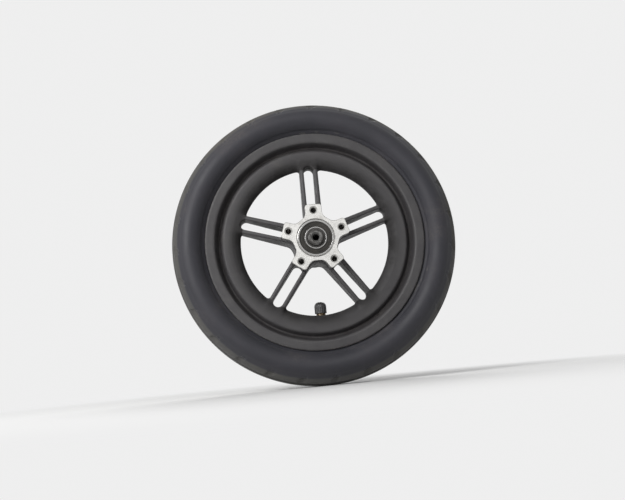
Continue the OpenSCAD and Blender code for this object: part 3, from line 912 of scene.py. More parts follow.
class Workshop:
    """Keeps the materials, and puts each finished piece on its body."""

    def __init__(self) -> None:
        """Starts with the shared effects and no materials."""
        self.effects = Effects()
        self.materials: dict[str, bpy.types.Material] = {}

    def paint(self, piece: Piece, finish: Finish) -> None:
        """Gives a piece one finish all over.

        Args:
            piece: the object.
            finish: its finish.
        """
        if finish.name not in self.materials:
            self.materials[finish.name] = finish.material(self.effects)
        piece.data.materials.clear()
        piece.data.materials.append(self.materials[finish.name])

    def fit(self, piece: Piece, body: str, finish: Finish, *nodes: str) -> None:
        """Paints a new piece and sets it in place of CAD nodes.

        Args:
            piece: the new object.
            body: the body that it moves with.
            finish: its finish.
            nodes: the CAD nodes that it stands for.
        """
        self.paint(piece, finish)
        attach(piece, body)
        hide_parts(*nodes)
        log.info("%s rides on %s, %d faces", piece.name, body, len(piece.data.polygons))

    def keep(self, node: str, finish: Finish) -> None:
        """Paints a CAD node whose shape is used as it is."""
        self.paint(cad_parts[node], finish)
        log.info("%s keeps its solid shape", node)


# The wheel's sub-assemblies


@dataclass
class RimCasting:
    """The painted casting: flanges, drop centre, web, five slotted spokes, hub and brake star.

    Its shape is a distance field, and a net of quads is laid over the surface where it is zero.
    """

    ring: Sequence[Corner] = (
        (66.5, 8, 2.5), (77.5, 10, 1.5), (77.5, 16, 1), (83.75, 16, 1.2), (83.75, 19, 1),
        (76.5, 19, 1.8), (74, 12, 2.4), (72.75, 12, 2), (70.25, 16, 2.5), (60.11, 16, 10.4),
        (57, 11, 0.5), (57, 7.3, 0.7), (63, 7.3, 1), (63, -10, 2), (74, -14.5, 2),
        (76.5, -19, 0.8), (83.75, -19, 0.8), (83.75, -16, 1.2), (77.5, -16, 1), (77.5, -10, 1.5),
        (66.5, -8, 2.5))
    ring_step: float = 18.0
    ring_from: float = 48.0
    window_r: float = 57.0
    rim_fillet: float = 3.2
    spokes: int = 5
    spoke_half: float = 7.0
    spoke_edge: float = 1.5
    spoke_lean: float = 0.99
    spoke_top: Pair = (20.0, 14.0)
    spoke_bottom: Pair = (-6.0, 1.0)
    spoke_reach: Pair = (17.75, 64.75)
    spoke_ends: Pair = (12.0, 65.0)
    slot_ends: Pair = (26.4, 54.6)
    slot_half: float = 3.9
    slot_edge: float = 1.1
    hub: Sequence[Corner] = ((9, -24, 0), (15.95, -24, 0.6), (17.75, -6, 4), (17.75, 24.5, 0),
                             (9, 24.5, 0))
    hub_step: float = 12.0
    hub_area: float = 34.0
    hub_fillet: float = 4.0
    bore_r: float = 11.6
    seat_r: float = 14.03
    seat_front: float = 21.5
    seat_rear: float = -15.5
    star_low: float = 19.0
    star_high: float = 29.7
    star_half: float = 6.3
    star_tip: float = 25.5
    star_waist: float = 17.2
    star_tip_round: float = 2.2
    star_waist_round: float = 5.5
    star_step: float = 9.0
    star_side: float = 1.2
    star_under: float = 0.12
    star_edge: float = 0.5
    star_fillet: float = 1.6
    bolt_r: float = 21.0
    bolt_clear: float = 2.7
    bolt_floor: float = 20.4
    valve_area: float = -50.0
    valve_r: float = 4.3
    nut_pocket_r: float = 6.85
    nut_pocket: Pair = (58.7, 63.2)
    grid_radii: Sequence[Run] = ((10.7, 20, 0.9), (20.2, 53.6, 1.2), (53.9, 85, 0.75))
    grid_heights: Sequence[Run] = ((-24.63, -15, 0.8), (-14.9, 6, 1.6), (6.1, 20.4, 0.65),
                                   (20.57, 31, 0.9))
    lines_near: int = 15
    lines_between: int = 15
    near_half: float = 8.6
    near_share: float = 0.72
    near_power: float = -4.0
    rounds: int = 2
    sharp: float = 62.0

    def star_outline(self, shrink: float = 0.0) -> np.ndarray:
        """The brake star seen from its face.

        Args:
            shrink: how far the outline is drawn in.

        Returns:
            The outline's points, anticlockwise.
        """
        wedge = math.pi / self.spokes
        foot = (self.star_waist - self.star_half * math.sin(wedge)) / math.cos(wedge)
        ear = ((foot, -1, self.star_waist_round), (self.star_tip, -1, self.star_tip_round),
               (self.star_tip, 1, self.star_tip_round), (foot, 1, self.star_waist_round))
        corners: list[Corner] = []
        for i in range(self.spokes):
            a = UP + 2 * wedge * i
            for u, v, r in ear:
                w = v * self.star_half
                corners.append((u * math.cos(a) - w * math.sin(a),
                                u * math.sin(a) + w * math.cos(a), r))
        line = filled_in(rounded(corners, self.star_step), self.star_side)
        along = np.roll(line, -1, 0) - np.roll(line, 1, 0)
        along /= np.linalg.norm(along, axis=1)[:, None]
        return line + shrink * np.stack([-along[:, 1], along[:, 0]], -1)

    def grid(self) -> np.ndarray:
        """Grid points whose lines run along the spokes near them and by angle between them.

        Returns:
            x, y and height of each point, by angle, radius and height.
        """
        wedge = math.pi / self.spokes
        radii = np.concatenate([np.arange(*run) for run in self.grid_radii])
        heights = np.concatenate([np.arange(*run) for run in self.grid_heights])
        power, widest = self.near_power, self.near_share * radii * math.sin(wedge)
        broad = (self.near_half ** power + widest ** power) ** (1 / power)
        share = np.arange(self.lines_near + 1) / self.lines_near
        edge = np.arcsin(share[:, None] * broad[None] / radii[None])
        share = np.arange(1, self.lines_between + 1) / self.lines_between
        side = np.concatenate([edge, edge[-1:] + (wedge - edge[-1:]) * share[:, None]])
        sector = np.concatenate([-side[-2:0:-1], side])
        angle = np.concatenate([UP + 2 * wedge * i + sector for i in range(self.spokes)])
        flat = np.stack([radii * np.cos(angle), radii * np.sin(angle)], -1)
        flat = flat[:, :, None, :].repeat(len(heights), 2)
        rise = np.broadcast_to(heights[None, None, :, None], (*flat.shape[:3], 1))
        return np.concatenate([flat, rise], -1)

    def distance(self, points: np.ndarray) -> np.ndarray:
        """Distance from the casting's surface, negative inside the metal.

        Args:
            points: x, y and height of each place, seen from the brake side.

        Returns:
            One distance per place.
        """
        x, y, h = points.T
        radius = np.hypot(x, y)
        wedge = math.pi / self.spokes
        turn = (np.arctan2(y, x) - UP + wedge) % (2 * wedge) - wedge
        u, v = radius * np.cos(turn), radius * np.sin(turn)
        body = blend_union(self._ring(radius, h), self._spoke(u, v, h), self.rim_fillet)
        slot = np.hypot(u - np.clip(u, *self.slot_ends), v) - self.slot_half
        body = blend_common(body, -slot, self.slot_edge)
        near = radius < self.hub_area
        r, h_near = radius[near], h[near]
        middle = outline_distance(np.stack([r, h_near], -1), rounded(self.hub, self.hub_step))
        star = outline_distance(points[near, :2], self.star_outline(self.star_under))
        plate = round_common(star, np.maximum(h_near - self.star_high, self.star_low - h_near),
                             self.star_edge)
        seats = np.minimum(np.maximum(r - self.seat_r, self.seat_front - h_near),
                           np.maximum(r - self.seat_r, h_near - self.seat_rear))
        bolts = np.maximum(np.hypot(u[near] - self.bolt_r, v[near]) - self.bolt_clear,
                           self.bolt_floor - h_near)
        whole = blend_union(body[near], middle, self.hub_fillet)
        whole = blend_union(whole, plate, self.star_fillet)
        holes = np.minimum(np.minimum(seats, r - self.bore_r), bolts)
        body[near] = np.maximum(whole, -holes)
        low = y < self.valve_area
        stem = np.hypot(x[low], h[low])
        start, end = self.nut_pocket
        pocket = np.maximum(stem - self.nut_pocket_r,
                            np.abs(-y[low] - (start + end) / 2) - (end - start) / 2)
        body[low] = np.maximum(body[low], -np.minimum(stem - self.valve_r, pocket))
        return body

    def _ring(self, radius: np.ndarray, h: np.ndarray) -> np.ndarray:
        """Distance from the ring of flanges, drop centre and web.

        Args:
            radius: distance of each place from the axle.
            h: height of each place.

        Returns:
            One distance per place.
        """
        ring = self.window_r - radius
        far = radius > self.ring_from
        places = np.stack([radius[far], h[far]], -1)
        ring[far] = outline_distance(places, rounded(self.ring, self.ring_step))
        return ring

    def _spoke(self, u: np.ndarray, v: np.ndarray, h: np.ndarray) -> np.ndarray:
        """Distance from the nearest spoke, without its slot.

        Args:
            u: place of each point along the spoke.
            v: place across the spoke.
            h: height of each place.

        Returns:
            One distance per place.
        """
        inner, outer = self.spoke_reach
        share = (u - inner) / (outer - inner)
        top = self.spoke_top[0] + share * (self.spoke_top[1] - self.spoke_top[0])
        bottom = self.spoke_bottom[0] + share * (self.spoke_bottom[1] - self.spoke_bottom[0])
        first, last = self.spoke_ends
        sides = np.maximum(np.abs(v) - self.spoke_half, np.maximum(u - last, first - u))
        return round_common(sides, np.maximum(h - top, bottom - h) * self.spoke_lean,
                            self.spoke_edge)

    def build(self, shop: Workshop) -> None:
        """Makes the casting and puts it on the wheel.

        Args:
            shop: the workshop that paints it and sets it in place.
        """
        places = self.grid()
        values = self.distance(places.reshape(-1, 3)).reshape(places.shape[:3])
        points, quads = net_over(places, values)
        points = settle(points, quads, self.distance, self.rounds)
        world = np.stack([points[:, 0], -points[:, 2], points[:, 1]], -1) * MM
        shop.fit(make_object("rim_casting", world, quads, self.sharp), "wheel", RIM_PAINT, "rim")


@dataclass
class MachinedFaces:
    """The bare faces that were turned on the casting: the brake star's and the hub's rear face."""

    casting: RimCasting
    face: float = 30.0
    skin: float = 0.6
    thick: float = 2.0
    chamfer: float = 0.3
    mouth: float = 14.6
    mouth_steps: int = 120
    bolt: TappedHole = field(default_factory=lambda: TappedHole(
        mouth=3.1, minor=2.1, major=2.5, pitch=0.8, depth=8.0))
    sleeve_r: float = 2.65
    sleeve_depth: float = 9.4
    rear_face: float = -24.0
    rear_ring: Sequence[Corner] = ((14.5, -0.02, 0.1), (15.4, -0.02, 0.1), (15.4, 0.3, 0),
                                   (14.03, 1.5, 0), (14.03, 0.45, 0.1))
    sharp: float = 30.0

    def star(self) -> tuple[Piece, Piece, Piece]:
        """The brake star's plate with its bearing mouth, and the five bolt holes in it.

        Returns:
            The plate, the countersinks and the threads.
        """
        inner, outer = self.casting.star_outline(self.chamfer), self.casting.star_outline()
        face, low, seat = self.face, self.face - self.thick, self.casting.seat_r
        steps, around = self.bolt.steps, circle(self.mouth_steps)
        walls = [[self._ring(inner, face), self._ring(outer, face - self.chamfer),
                  self._ring(outer, face - self.skin), self._ring(inner, low)],
                 [self._ring(around * self.mouth, face),
                  self._ring(around * seat, face - self.mouth + seat),
                  self._ring(around * seat, low)]]
        cones, threads = [], []
        sink = face - self.bolt.mouth + self.bolt.minor
        for i in range(self.casting.spokes):
            a = UP + 2 * math.pi / self.casting.spokes * i
            middle = self.casting.bolt_r * np.array([math.cos(a), math.sin(a)])
            hole = list(self.bolt.skin(face, 1.0, *middle)[0].reshape(-1, steps, 3))
            wide = middle + circle(steps) * self.bolt.mouth
            sleeve = middle + circle(steps) * self.sleeve_r
            walls.append([self._ring(wide, face), self._ring(wide, low)])
            cones.append((np.concatenate([*hole[:2], self._ring(wide, sink)]),
                          grid_faces(3, steps, True, True)))
            threads.append(plugged([self._ring(sleeve, face - self.sleeve_depth),
                                    self._ring(sleeve, sink), *hole[1:]]))
        skins = [(np.concatenate(wall), grid_faces(len(wall), len(wall[0]), False, True))
                 for wall in walls]
        for end in (0, -1):
            loops = [wall[end] for wall in walls]
            faces = tessellate_polygon([[Vector(p) for p in loop] for loop in loops])
            skins.append((np.concatenate(loops), faces))
        return (shell("brake_star_face", skins, self.sharp),
                shell("brake_bolt_countersinks", cones, self.sharp),
                shell("brake_bolt_threads", threads, self.sharp))

    def _ring(self, outline: np.ndarray, height: float) -> np.ndarray:
        """An outline at a height, in metres."""
        return np.stack([outline[:, 0], np.full(len(outline), -height), outline[:, 1]], -1) * MM

    def rear(self) -> Piece:
        """The turned ring on the hub's rear face."""
        corners = [(radius, self.rear_face + rise, r) for radius, rise, r in self.rear_ring]
        return turned("rear_hub_face", rounded(corners))

    def build(self, shop: Workshop) -> None:
        """Makes both faces and puts them on the wheel.

        Args:
            shop: the workshop that paints them and sets them in place.
        """
        face, cones, threads = self.star()
        shop.fit(face, "wheel", MACHINED_ALLOY, "rim")
        # The countersinks carry painted shade.
        shop.fit(cones, "wheel", COUNTERSINK_PAINTED_SHADE, "rim")
        # The threads carry painted shade.
        shop.fit(threads, "wheel", THREAD_PAINTED_SHADE, "rim")
        shop.fit(self.rear(), "wheel", MACHINED_ALLOY, "rim")


@dataclass
class Tyre:
    """The pneumatic tyre with its tread, and the tube inside it.

    Places along one pitch of the tread pattern are shares from 0 to 1.
    """

    crown: Sequence[Corner] = (
        (110, 0, 0), (110, 7, 19.4), (107.48, 15.5, 11.6), (101.73, 22.5, 8.7),
        (94.25, 28.15, 10.7), (87.24, 20.59, 1.9), (86.27, 18.61, 0.4), (85.12, 17.59, 0.4),
        (83.9, 16.81, 0.3), (83.9, 15.85, 0.8), (77.65, 15.85, 1.5), (77.65, 10.4, 0.8),
        (79.5, 10.4, 1.5), (86.25, 14, 3.9), (96.19, 21.5, 8.7), (104, 12.5, 7.8), (104, 0, 0))
    crown_step: float = 6.0
    tread_edge: float = 21.0
    tread_rows: Sequence[float] = (
        0.0, 1.3, 1.45, 1.6, 2.4, 2.7, 4.0, 5.5, 7.0, 8.3, 8.6, 9.3, 9.45, 9.6, 11.0, 12.4, 12.55,
        12.7, 13.2, 13.5, 14.5, 15.5, 16.5, 17.4, 18.3, 19.2, 19.5, 20.2)
    tread_half: float = 20.5
    tread_r: float = 100.0
    inside_rows: int = 12
    bead_r: float = 77.7
    wall_side: float = 1.3
    inside_side: float = 5.0
    grooves: Sequence[float] = (0.0, 11.0)
    groove_half: float = 1.6
    groove_depth: float = 1.6
    cut_run: float = 0.25
    pitches: int = 27
    pitch_lines: Sequence[float] = (0.005, 0.03, 0.07, 0.14, 0.21, 0.25, 0.275, 0.315, 0.47, 0.55,
                                    0.63, 0.71, 0.79, 0.945)
    slant: float = 0.0045
    notch: Pair = (16.8, 0.14)
    notch_half: Pair = (3.4, 0.135)
    notch_depth: float = 1.3
    notch_steep: float = 2.5
    slits: Pair = (0.3725, 0.8725)
    slit: Pair = (2.6, 8.4)
    slit_half: float = 0.012
    slit_lines: Sequence[float] = (-0.0175, -0.0075, 0.0075, 0.0175)
    slit_depth: float = 0.9
    ledge: float = 0.45
    ledge_reach: float = 9.0
    ledge_lean: Pair = (0.72, 0.69)
    sharp: float = 50.0

    def section(self) -> np.ndarray:
        """Half of the section from the middle of the tread round to the middle of the inside.

        Returns:
            Radius and height of each point.
        """
        line = rounded(self.crown, self.crown_step, closed=False)
        tread_end = int(np.argmax(line[:, 1] > self.tread_edge))
        top = line[:tread_end + 1]
        tread = np.stack([np.interp(self.tread_rows, top[:, 1], top[:, 0]), self.tread_rows], -1)
        seen = int(np.argmax(line[:, 0] < self.bead_r))
        wall = filled_in(line[tread_end:seen + 1], self.wall_side, closed=False)
        below = np.clip(1 - np.linalg.norm(wall - wall[0], axis=1) / self.ledge_reach, 0, 1)
        wall = wall - self.ledge * below[:, None] * np.array(self.ledge_lean)
        inside = filled_in(line[seen + 1:], self.inside_side, closed=False)
        return np.concatenate([tread, wall, inside])

    def pattern(self, height: np.ndarray, along: np.ndarray) -> np.ndarray:
        """How deep the tread is cut.

        Args:
            height: place across the tread.
            along: place within one pitch of the pattern, from 0 to 1.

        Returns:
            Depth in millimetres, on the grid of both.
        """
        across = np.abs(height)

        def within(room: np.ndarray) -> np.ndarray:
            """1 inside a cut, falling steeply to 0 at its wall."""
            return np.clip(room / self.cut_run, 0, 1)

        ring = sum(within(self.groove_half - np.abs(across - g)) for g in self.grooves)
        oval = (((across - self.notch[0]) / self.notch_half[0]) ** 2
                + ((along - self.notch[1]) / self.notch_half[1]) ** 2)
        notch = np.clip((1 - oval) * self.notch_steep, 0, 1) * self.notch_depth
        slit = within(across - self.slit[0]) * within(self.slit[1] - across)
        slit = slit * sum(np.abs(along - s) < self.slit_half for s in self.slits)
        return np.maximum(np.maximum(ring * self.groove_depth, notch), slit * self.slit_depth)

    def build(self, shop: Workshop) -> None:
        """Makes the tyre and puts it on the wheel, and dresses the tube.

        Args:
            shop: the workshop that paints them and sets them in place.
        """
        half = self.section()
        loop = np.concatenate([half, (half * np.array([1, -1]))[-2:0:-1]])
        cuts = [s + d for s in self.slits for d in self.slit_lines]
        columns = np.sort([*self.pitch_lines, *cuts])
        along = np.tile(columns, self.pitches)
        turn = (np.arange(len(along)) // len(columns) + along) * 2 * math.pi / self.pitches
        on_tread = (loop[:, 0] > self.tread_r) & (np.abs(loop[:, 1]) < self.tread_half)
        on_tread[len(half) - self.inside_rows:len(loop) - len(half) + self.inside_rows] = False
        depth = self.pattern(loop[None, :, 1], along[:, None]) * on_tread
        shift = self.slant * np.clip(np.abs(loop[:, 1]), 0, self.tread_edge)
        points = Line.AXLE.place(loop[None, :, 0] - depth, turn[:, None] + shift, loop[:, 1])
        faces = grid_faces(len(turn), len(loop), True, True)
        made = make_object("tyre_tread_and_walls", points.reshape(-1, 3), faces, self.sharp)
        shop.fit(made, "wheel", TYRE_RUBBER, "tyre")
        shop.keep("inner_tube", TUBE_RUBBER)


@dataclass
class HubBearing:
    """One sealed deep-groove ball bearing."""

    name: str
    middle: float
    outer_r: float = 13.98
    bore_r: float = 6.0
    half: float = 4.0
    outer_land: float = 11.7
    inner_land: float = 8.3
    lip_r: float = 7.45
    lip_chamfer: float = 0.3
    lip_height: float = 0.5
    ball_r: float = 2.48
    pitch_r: float = 10.0
    race_rows: int = 7
    seal_r: float = 12.45
    seal_gap: float = 0.02
    seal_step: float = 0.95
    seal_recess: float = 0.2
    seal_thick: float = 0.7
    seal_face: Sequence[Corner] = (
        (11.9, 0.02, 0.12), (11.65, 0.24, 0.1), (10.95, 0.24, 0.1), (10.75, 0.12, 0.1),
        (9.55, 0.12, 0.1), (9.35, 0.24, 0.1), (9.05, 0.24, 0.1), (8.85, 0.05, 0.1),
        (8.4, 0.05, 0.12))

    def race(self, land: float) -> list[Corner]:
        """The half of a ball groove in a ring.

        Args:
            land: radius of the ring's land, beside the groove.

        Returns:
            The groove's corners, from its middle outwards.
        """
        deep = abs(land - self.pitch_r)
        side = 1 if land > self.pitch_r else -1
        start = math.acos(deep / self.ball_r)
        return [(self.pitch_r + side * self.ball_r * math.cos(a), self.ball_r * math.sin(a), 0)
                for a in np.linspace(0.0, start, self.race_rows)[1:]]

    def at(self, outline: np.ndarray, mirror: float = 1.0) -> np.ndarray:
        """An outline about the bearing's middle, moved to its place on the axle."""
        return outline * np.array([1, mirror]) + np.array([0, self.middle])

    def outer_ring(self) -> np.ndarray:
        """Section of the outer ring, with its seal steps and ball groove.

        Returns:
            Radius and height of each point.
        """
        step = self.half - self.seal_step
        half = [*self.race(self.outer_land), (self.outer_land, step, 0.1),
                (self.seal_r, step, 0.1), (self.seal_r, self.half, 0.15),
                (self.outer_r, self.half, 0.5)]
        return rounded(mirrored(half))

    def inner_ring(self) -> np.ndarray:
        """Section of the inner ring with its ball groove.

        Returns:
            Radius and height of each point.
        """
        step = self.half - self.lip_height
        half = [(self.bore_r, self.half, 0.4), (self.lip_r - self.lip_chamfer, self.half, 0.1),
                (self.lip_r, step, 0), (self.inner_land, step, 0),
                *reversed(self.race(self.inner_land))]
        return rounded(mirrored(half))

    def lip(self) -> np.ndarray:
        """Section of the inner ring's bright ground edge, beside a turned line in its face."""
        low, high = self.half - self.lip_height, self.half
        return rounded([(self.lip_r, low, 0), (self.inner_land, low, 0),
                        (self.inner_land, high, 0.15), (self.lip_r, high, 0.15)])

    def seal(self) -> np.ndarray:
        """Section of a rubber seal with its moulded steps.

        Returns:
            Radius and height of each point.
        """
        face, edge = self.half - self.seal_recess, self.seal_r - self.seal_gap
        back = face - self.seal_thick
        front = [(radius, face - deep, r) for radius, deep, r in self.seal_face]
        return rounded([(front[-1][0], back, 0.05), (edge, back, 0.05),
                        (edge, face - self.seal_gap, 0.15), *front])

    def build(self, shop: Workshop) -> None:
        """Makes the rings and seals, and dresses the balls and the cage.

        Args:
            shop: the workshop that paints them and sets them in place.
        """
        made, name = f"{self.name}_bearing", self.name
        shop.fit(turned(f"{made}_outer_race", self.at(self.outer_ring())),
                 "wheel", BEARING_STEEL, f"{name}_outer_ring")
        shop.fit(turned(f"{made}_inner_race", self.at(self.inner_ring())),
                 "axle", INNER_RACE, f"{name}_inner_ring")
        out = 1.0 if self.middle > 0 else -1.0
        for side, mirror in (("outer", out), ("inner", -out)):
            shop.fit(turned(f"{made}_{side}_shield", self.at(self.seal(), mirror)),
                     "wheel", SEAL_RUBBER, f"{name}_{side}_seal")
            shop.fit(turned(f"{made}_{side}_ground_edge", self.at(self.lip(), mirror)),
                     "axle", BEARING_STEEL, f"{name}_inner_ring")
        shop.keep(f"{name}_balls", BEARING_STEEL)
        shop.keep(f"{name}_cage", CAGE_STEEL)


@dataclass
class AxleSet:
    """The tapped through axle, the sleeve between the bearings and the rear collar."""

    half: float = 32.5
    radius: float = 5.98
    chamfer: float = 1.0
    tap: TappedHole = field(default_factory=lambda: TappedHole(
        mouth=3.8, minor=2.5, major=3.0, pitch=1.0, depth=18.0, steps=48))
    collar: Pair = (-29.5, -23.5)
    collar_bore: float = 6.02
    collar_r: float = 8.0
    nose_r: float = 7.4
    nose: Pair = (1.2, 0.9)
    sharp: float = 30.0

    def bar(self) -> Piece:
        """The axle with a tapped hole in each end.

        Returns:
            The new object.
        """
        rise, edge = self.half, self.radius - self.chamfer
        shoulder = rise - self.chamfer
        line = rounded([(self.tap.mouth, rise, 0), (edge, rise, 0.15), (self.radius, shoulder, 0.2),
                        (self.radius, -shoulder, 0.2), (edge, -rise, 0.15),
                        (self.tap.mouth, -rise, 0)], closed=False)
        steps = self.tap.steps
        points = Line.AXLE.place(line[:, 0], angles(steps)[:, None], line[:, 1])
        skins = [(points.reshape(-1, 3), grid_faces(steps, len(line), True, False)),
                 self.tap.skin(rise, 1.0), self.tap.skin(-rise, -1.0)]
        return shell("through_axle", skins, self.sharp)

    def ring(self) -> Piece:
        """The collar behind the rear bearing, with a narrower nose against it.

        Returns:
            The new object.
        """
        low, high = self.collar
        back, front = (high - n for n in self.nose)
        return turned("rear_spacer_collar", rounded([
            (self.collar_bore, low, 0.4), (self.collar_r, low, 0.5), (self.collar_r, back, 0.2),
            (self.nose_r, front, 0.2), (self.nose_r, high, 0.2), (self.collar_bore, high, 0.3)]))

    def build(self, shop: Workshop) -> None:
        """Makes the axle and its collar, and dresses the sleeve.

        Args:
            shop: the workshop that paints them and sets them in place.
        """
        shop.fit(self.bar(), "axle", AXLE_STEEL, "axle")
        shop.fit(self.ring(), "axle", AXLE_STEEL, "rear_collar")
        shop.keep("spacer_sleeve", AXLE_STEEL)


@dataclass
class TyreValve:
    """The threaded valve stem with its nut, core, spring, pin and cap.

    Places are distances from the wheel's axis.
    """

    stem_r: float = 3.85
    stem_top: float = 48.95
    stem_bore: float = 2.55
    stem_chamfer: float = 0.3
    stem_rim: float = 0.55
    stem_steps: int = 48
    stem_end: float = 68.15
    bore_seam: float = 66.0
    thread_start: float = 0.35
    thread_end: float = 65.5
    thread_runout: float = 0.4
    thread_pitch: float = 0.794
    thread_depth: float = 0.42
    foot_r: float = 4.6
    foot_step: float = 0.1
    foot_end: float = 72.05
    stem_sharp: float = 35.0
    nut_seat: float = 63.2
    nut_thick: float = 2.5
    nut_across: float = 11.0
    nut_bore: float = 3.87
    nut_mouth: float = 4.15
    nut_chamfer: float = 0.3
    nut_face: float = 0.97
    nut_slope: float = 0.577
    nut_rows: Sequence[float] = (0, 0.08, 0.18, 0.3, 0.45, 0.62, 1.0, 1.5, 1.88, 2.05, 2.2, 2.32,
                                 2.42, 2.5)
    nut_steps: int = 96
    nut_sharp: float = 28.0
    cap_tip: float = 45.91
    cap_roof: float = 48.11
    cap_foot: float = 54.91
    cap_r: float = 4.6
    cap_dome: float = 3.8
    cap_bore: float = 3.95
    cap_mouth: Pair = (0.25, 0.3)
    cap_middle: float = 0.02
    cap_sharp: float = 50.0
    ribs: int = 16
    rib_steps: int = 12
    rib_depth: float = 0.28
    rib_wave: Pair = (1.5, 0.55)
    rib_start: Pair = (2.2, 0.8)
    rib_end: Pair = (0.7, 0.4)
    pin_travel: float = 1.5

    def stem(self) -> Piece:
        """The stem, whose thread runs up to its open end.

        Returns:
            The new object.
        """
        top, bore, cut = self.stem_top, self.stem_bore, self.stem_chamfer
        radius, angle, along = helix(top + self.thread_start, self.thread_end,
                                     self.stem_r - self.thread_depth, self.stem_r,
                                     self.thread_pitch, self.stem_steps)
        mouth = np.array([(bore, self.bore_seam), (bore, top + cut), (bore + cut, top),
                          (self.stem_r - self.stem_rim, top)])
        foot = np.array([(self.stem_r, self.thread_end + self.thread_runout),
                         (self.stem_r, self.stem_end),
                         (self.foot_r, self.stem_end + self.foot_step),
                         (self.foot_r, self.foot_end - cut), (self.foot_r - cut, self.foot_end),
                         (bore, self.foot_end), (bore, self.bore_seam)])
        level = np.ones((1, self.stem_steps))
        radius = np.concatenate([mouth[:, :1] * level, radius, foot[:, :1] * level])
        along = np.concatenate([mouth[:, 1:] * level, along, foot[:, 1:] * level])
        points = Line.VALVE.place(radius, angle[:1], along)
        faces = grid_faces(len(radius), self.stem_steps, False, True)
        return make_object("valve_threaded_stem", points.reshape(-1, 3), faces, self.stem_sharp)

    def nut(self) -> Piece:
        """The flat hexagon nut with its chamfered corners.

        Returns:
            The new object.
        """
        flat, turn, sixth = self.nut_across / 2, angles(self.nut_steps)[None], math.pi / 3
        hexagon = flat / np.cos((turn + sixth / 2) % sixth - sixth / 2)
        low, high, cut = self.nut_seat - self.nut_thick, self.nut_seat, self.nut_chamfer
        deep = np.array(self.nut_rows)[:, None]
        cone = flat * self.nut_face + np.minimum(deep, self.nut_thick - deep) / self.nut_slope
        bore, mouth = np.full_like(turn, self.nut_bore), np.full_like(turn, self.nut_mouth)
        radius = np.concatenate([bore, mouth, np.minimum(hexagon, cone), mouth, bore])
        along = np.concatenate([[[low + cut]], [[low]], low + deep, [[high]], [[high - cut]]])
        points = Line.VALVE.place(radius, turn, along)
        faces = grid_faces(len(radius), self.nut_steps, True, True)
        return make_object("valve_lock_nut", points.reshape(-1, 3), faces, self.nut_sharp)

    def cap(self) -> Piece:
        """The domed cap with grip grooves and a hollow inside.

        Returns:
            The new object.
        """
        steps, (flare, lift) = self.ribs * self.rib_steps, self.cap_mouth
        outside = rounded([(self.cap_middle, self.cap_tip, 0),
                           (self.cap_r, self.cap_tip, self.cap_dome),
                           (self.cap_r, self.cap_foot, 0.3),
                           (self.cap_bore + flare, self.cap_foot, 0)], step=7.0, closed=False)
        outside = filled_in(outside, longest=0.7, closed=False)
        inside = rounded([(self.cap_bore, self.cap_foot - lift, 0),
                          (self.cap_bore, self.cap_roof, 0.5),
                          (self.cap_middle, self.cap_roof, 0)], step=12.0, closed=False)
        line = np.concatenate([outside, inside])
        turn = angles(steps)[:, None]
        tall, shift = self.rib_wave
        wave = np.clip(np.cos(turn * self.ribs) * tall - shift, 0, 1)
        (start, rise), (end, fall) = self.rib_start, self.rib_end
        zone = (np.clip((outside[:, 1] - self.cap_tip - start) / rise, 0, 1)
                * np.clip((self.cap_foot - end - outside[:, 1]) / fall, 0, 1))
        zone = np.concatenate([zone, np.zeros(len(inside))])
        points = Line.VALVE.place(line[:, 0] - self.rib_depth * wave * zone, turn, line[:, 1])
        tip = np.arange(steps) * len(line)
        faces = [*grid_faces(steps, len(line), True, False), tip, tip + len(line) - 1]
        return make_object("valve_ribbed_cap", points.reshape(-1, 3), faces, self.cap_sharp)

    def build(self, shop: Workshop) -> None:
        """Makes the valve's outside pieces and dresses its inner ones.

        Args:
            shop: the workshop that paints them and sets them in place.
        """
        shop.fit(self.stem(), "wheel", VALVE_BRASS, "valve_stem")
        shop.fit(self.nut(), "wheel", NUT_PLATE, "valve_nut")
        shop.fit(self.cap(), "cap", CAP_PLASTIC, "valve_cap")
        for node, finish in (("valve_core", VALVE_BRASS), ("valve_spring", SPRING_STEEL),
                             ("valve_pin", VALVE_BRASS), ("valve_pin_seal", SEAL_RUBBER),
                             ("valve_cap_seal", SEAL_RUBBER)):
            shop.keep(node, finish)
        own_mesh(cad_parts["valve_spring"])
        log.info("valve_spring shortens by %.1f mm as its pin is pressed", self.pin_travel)


# The studio


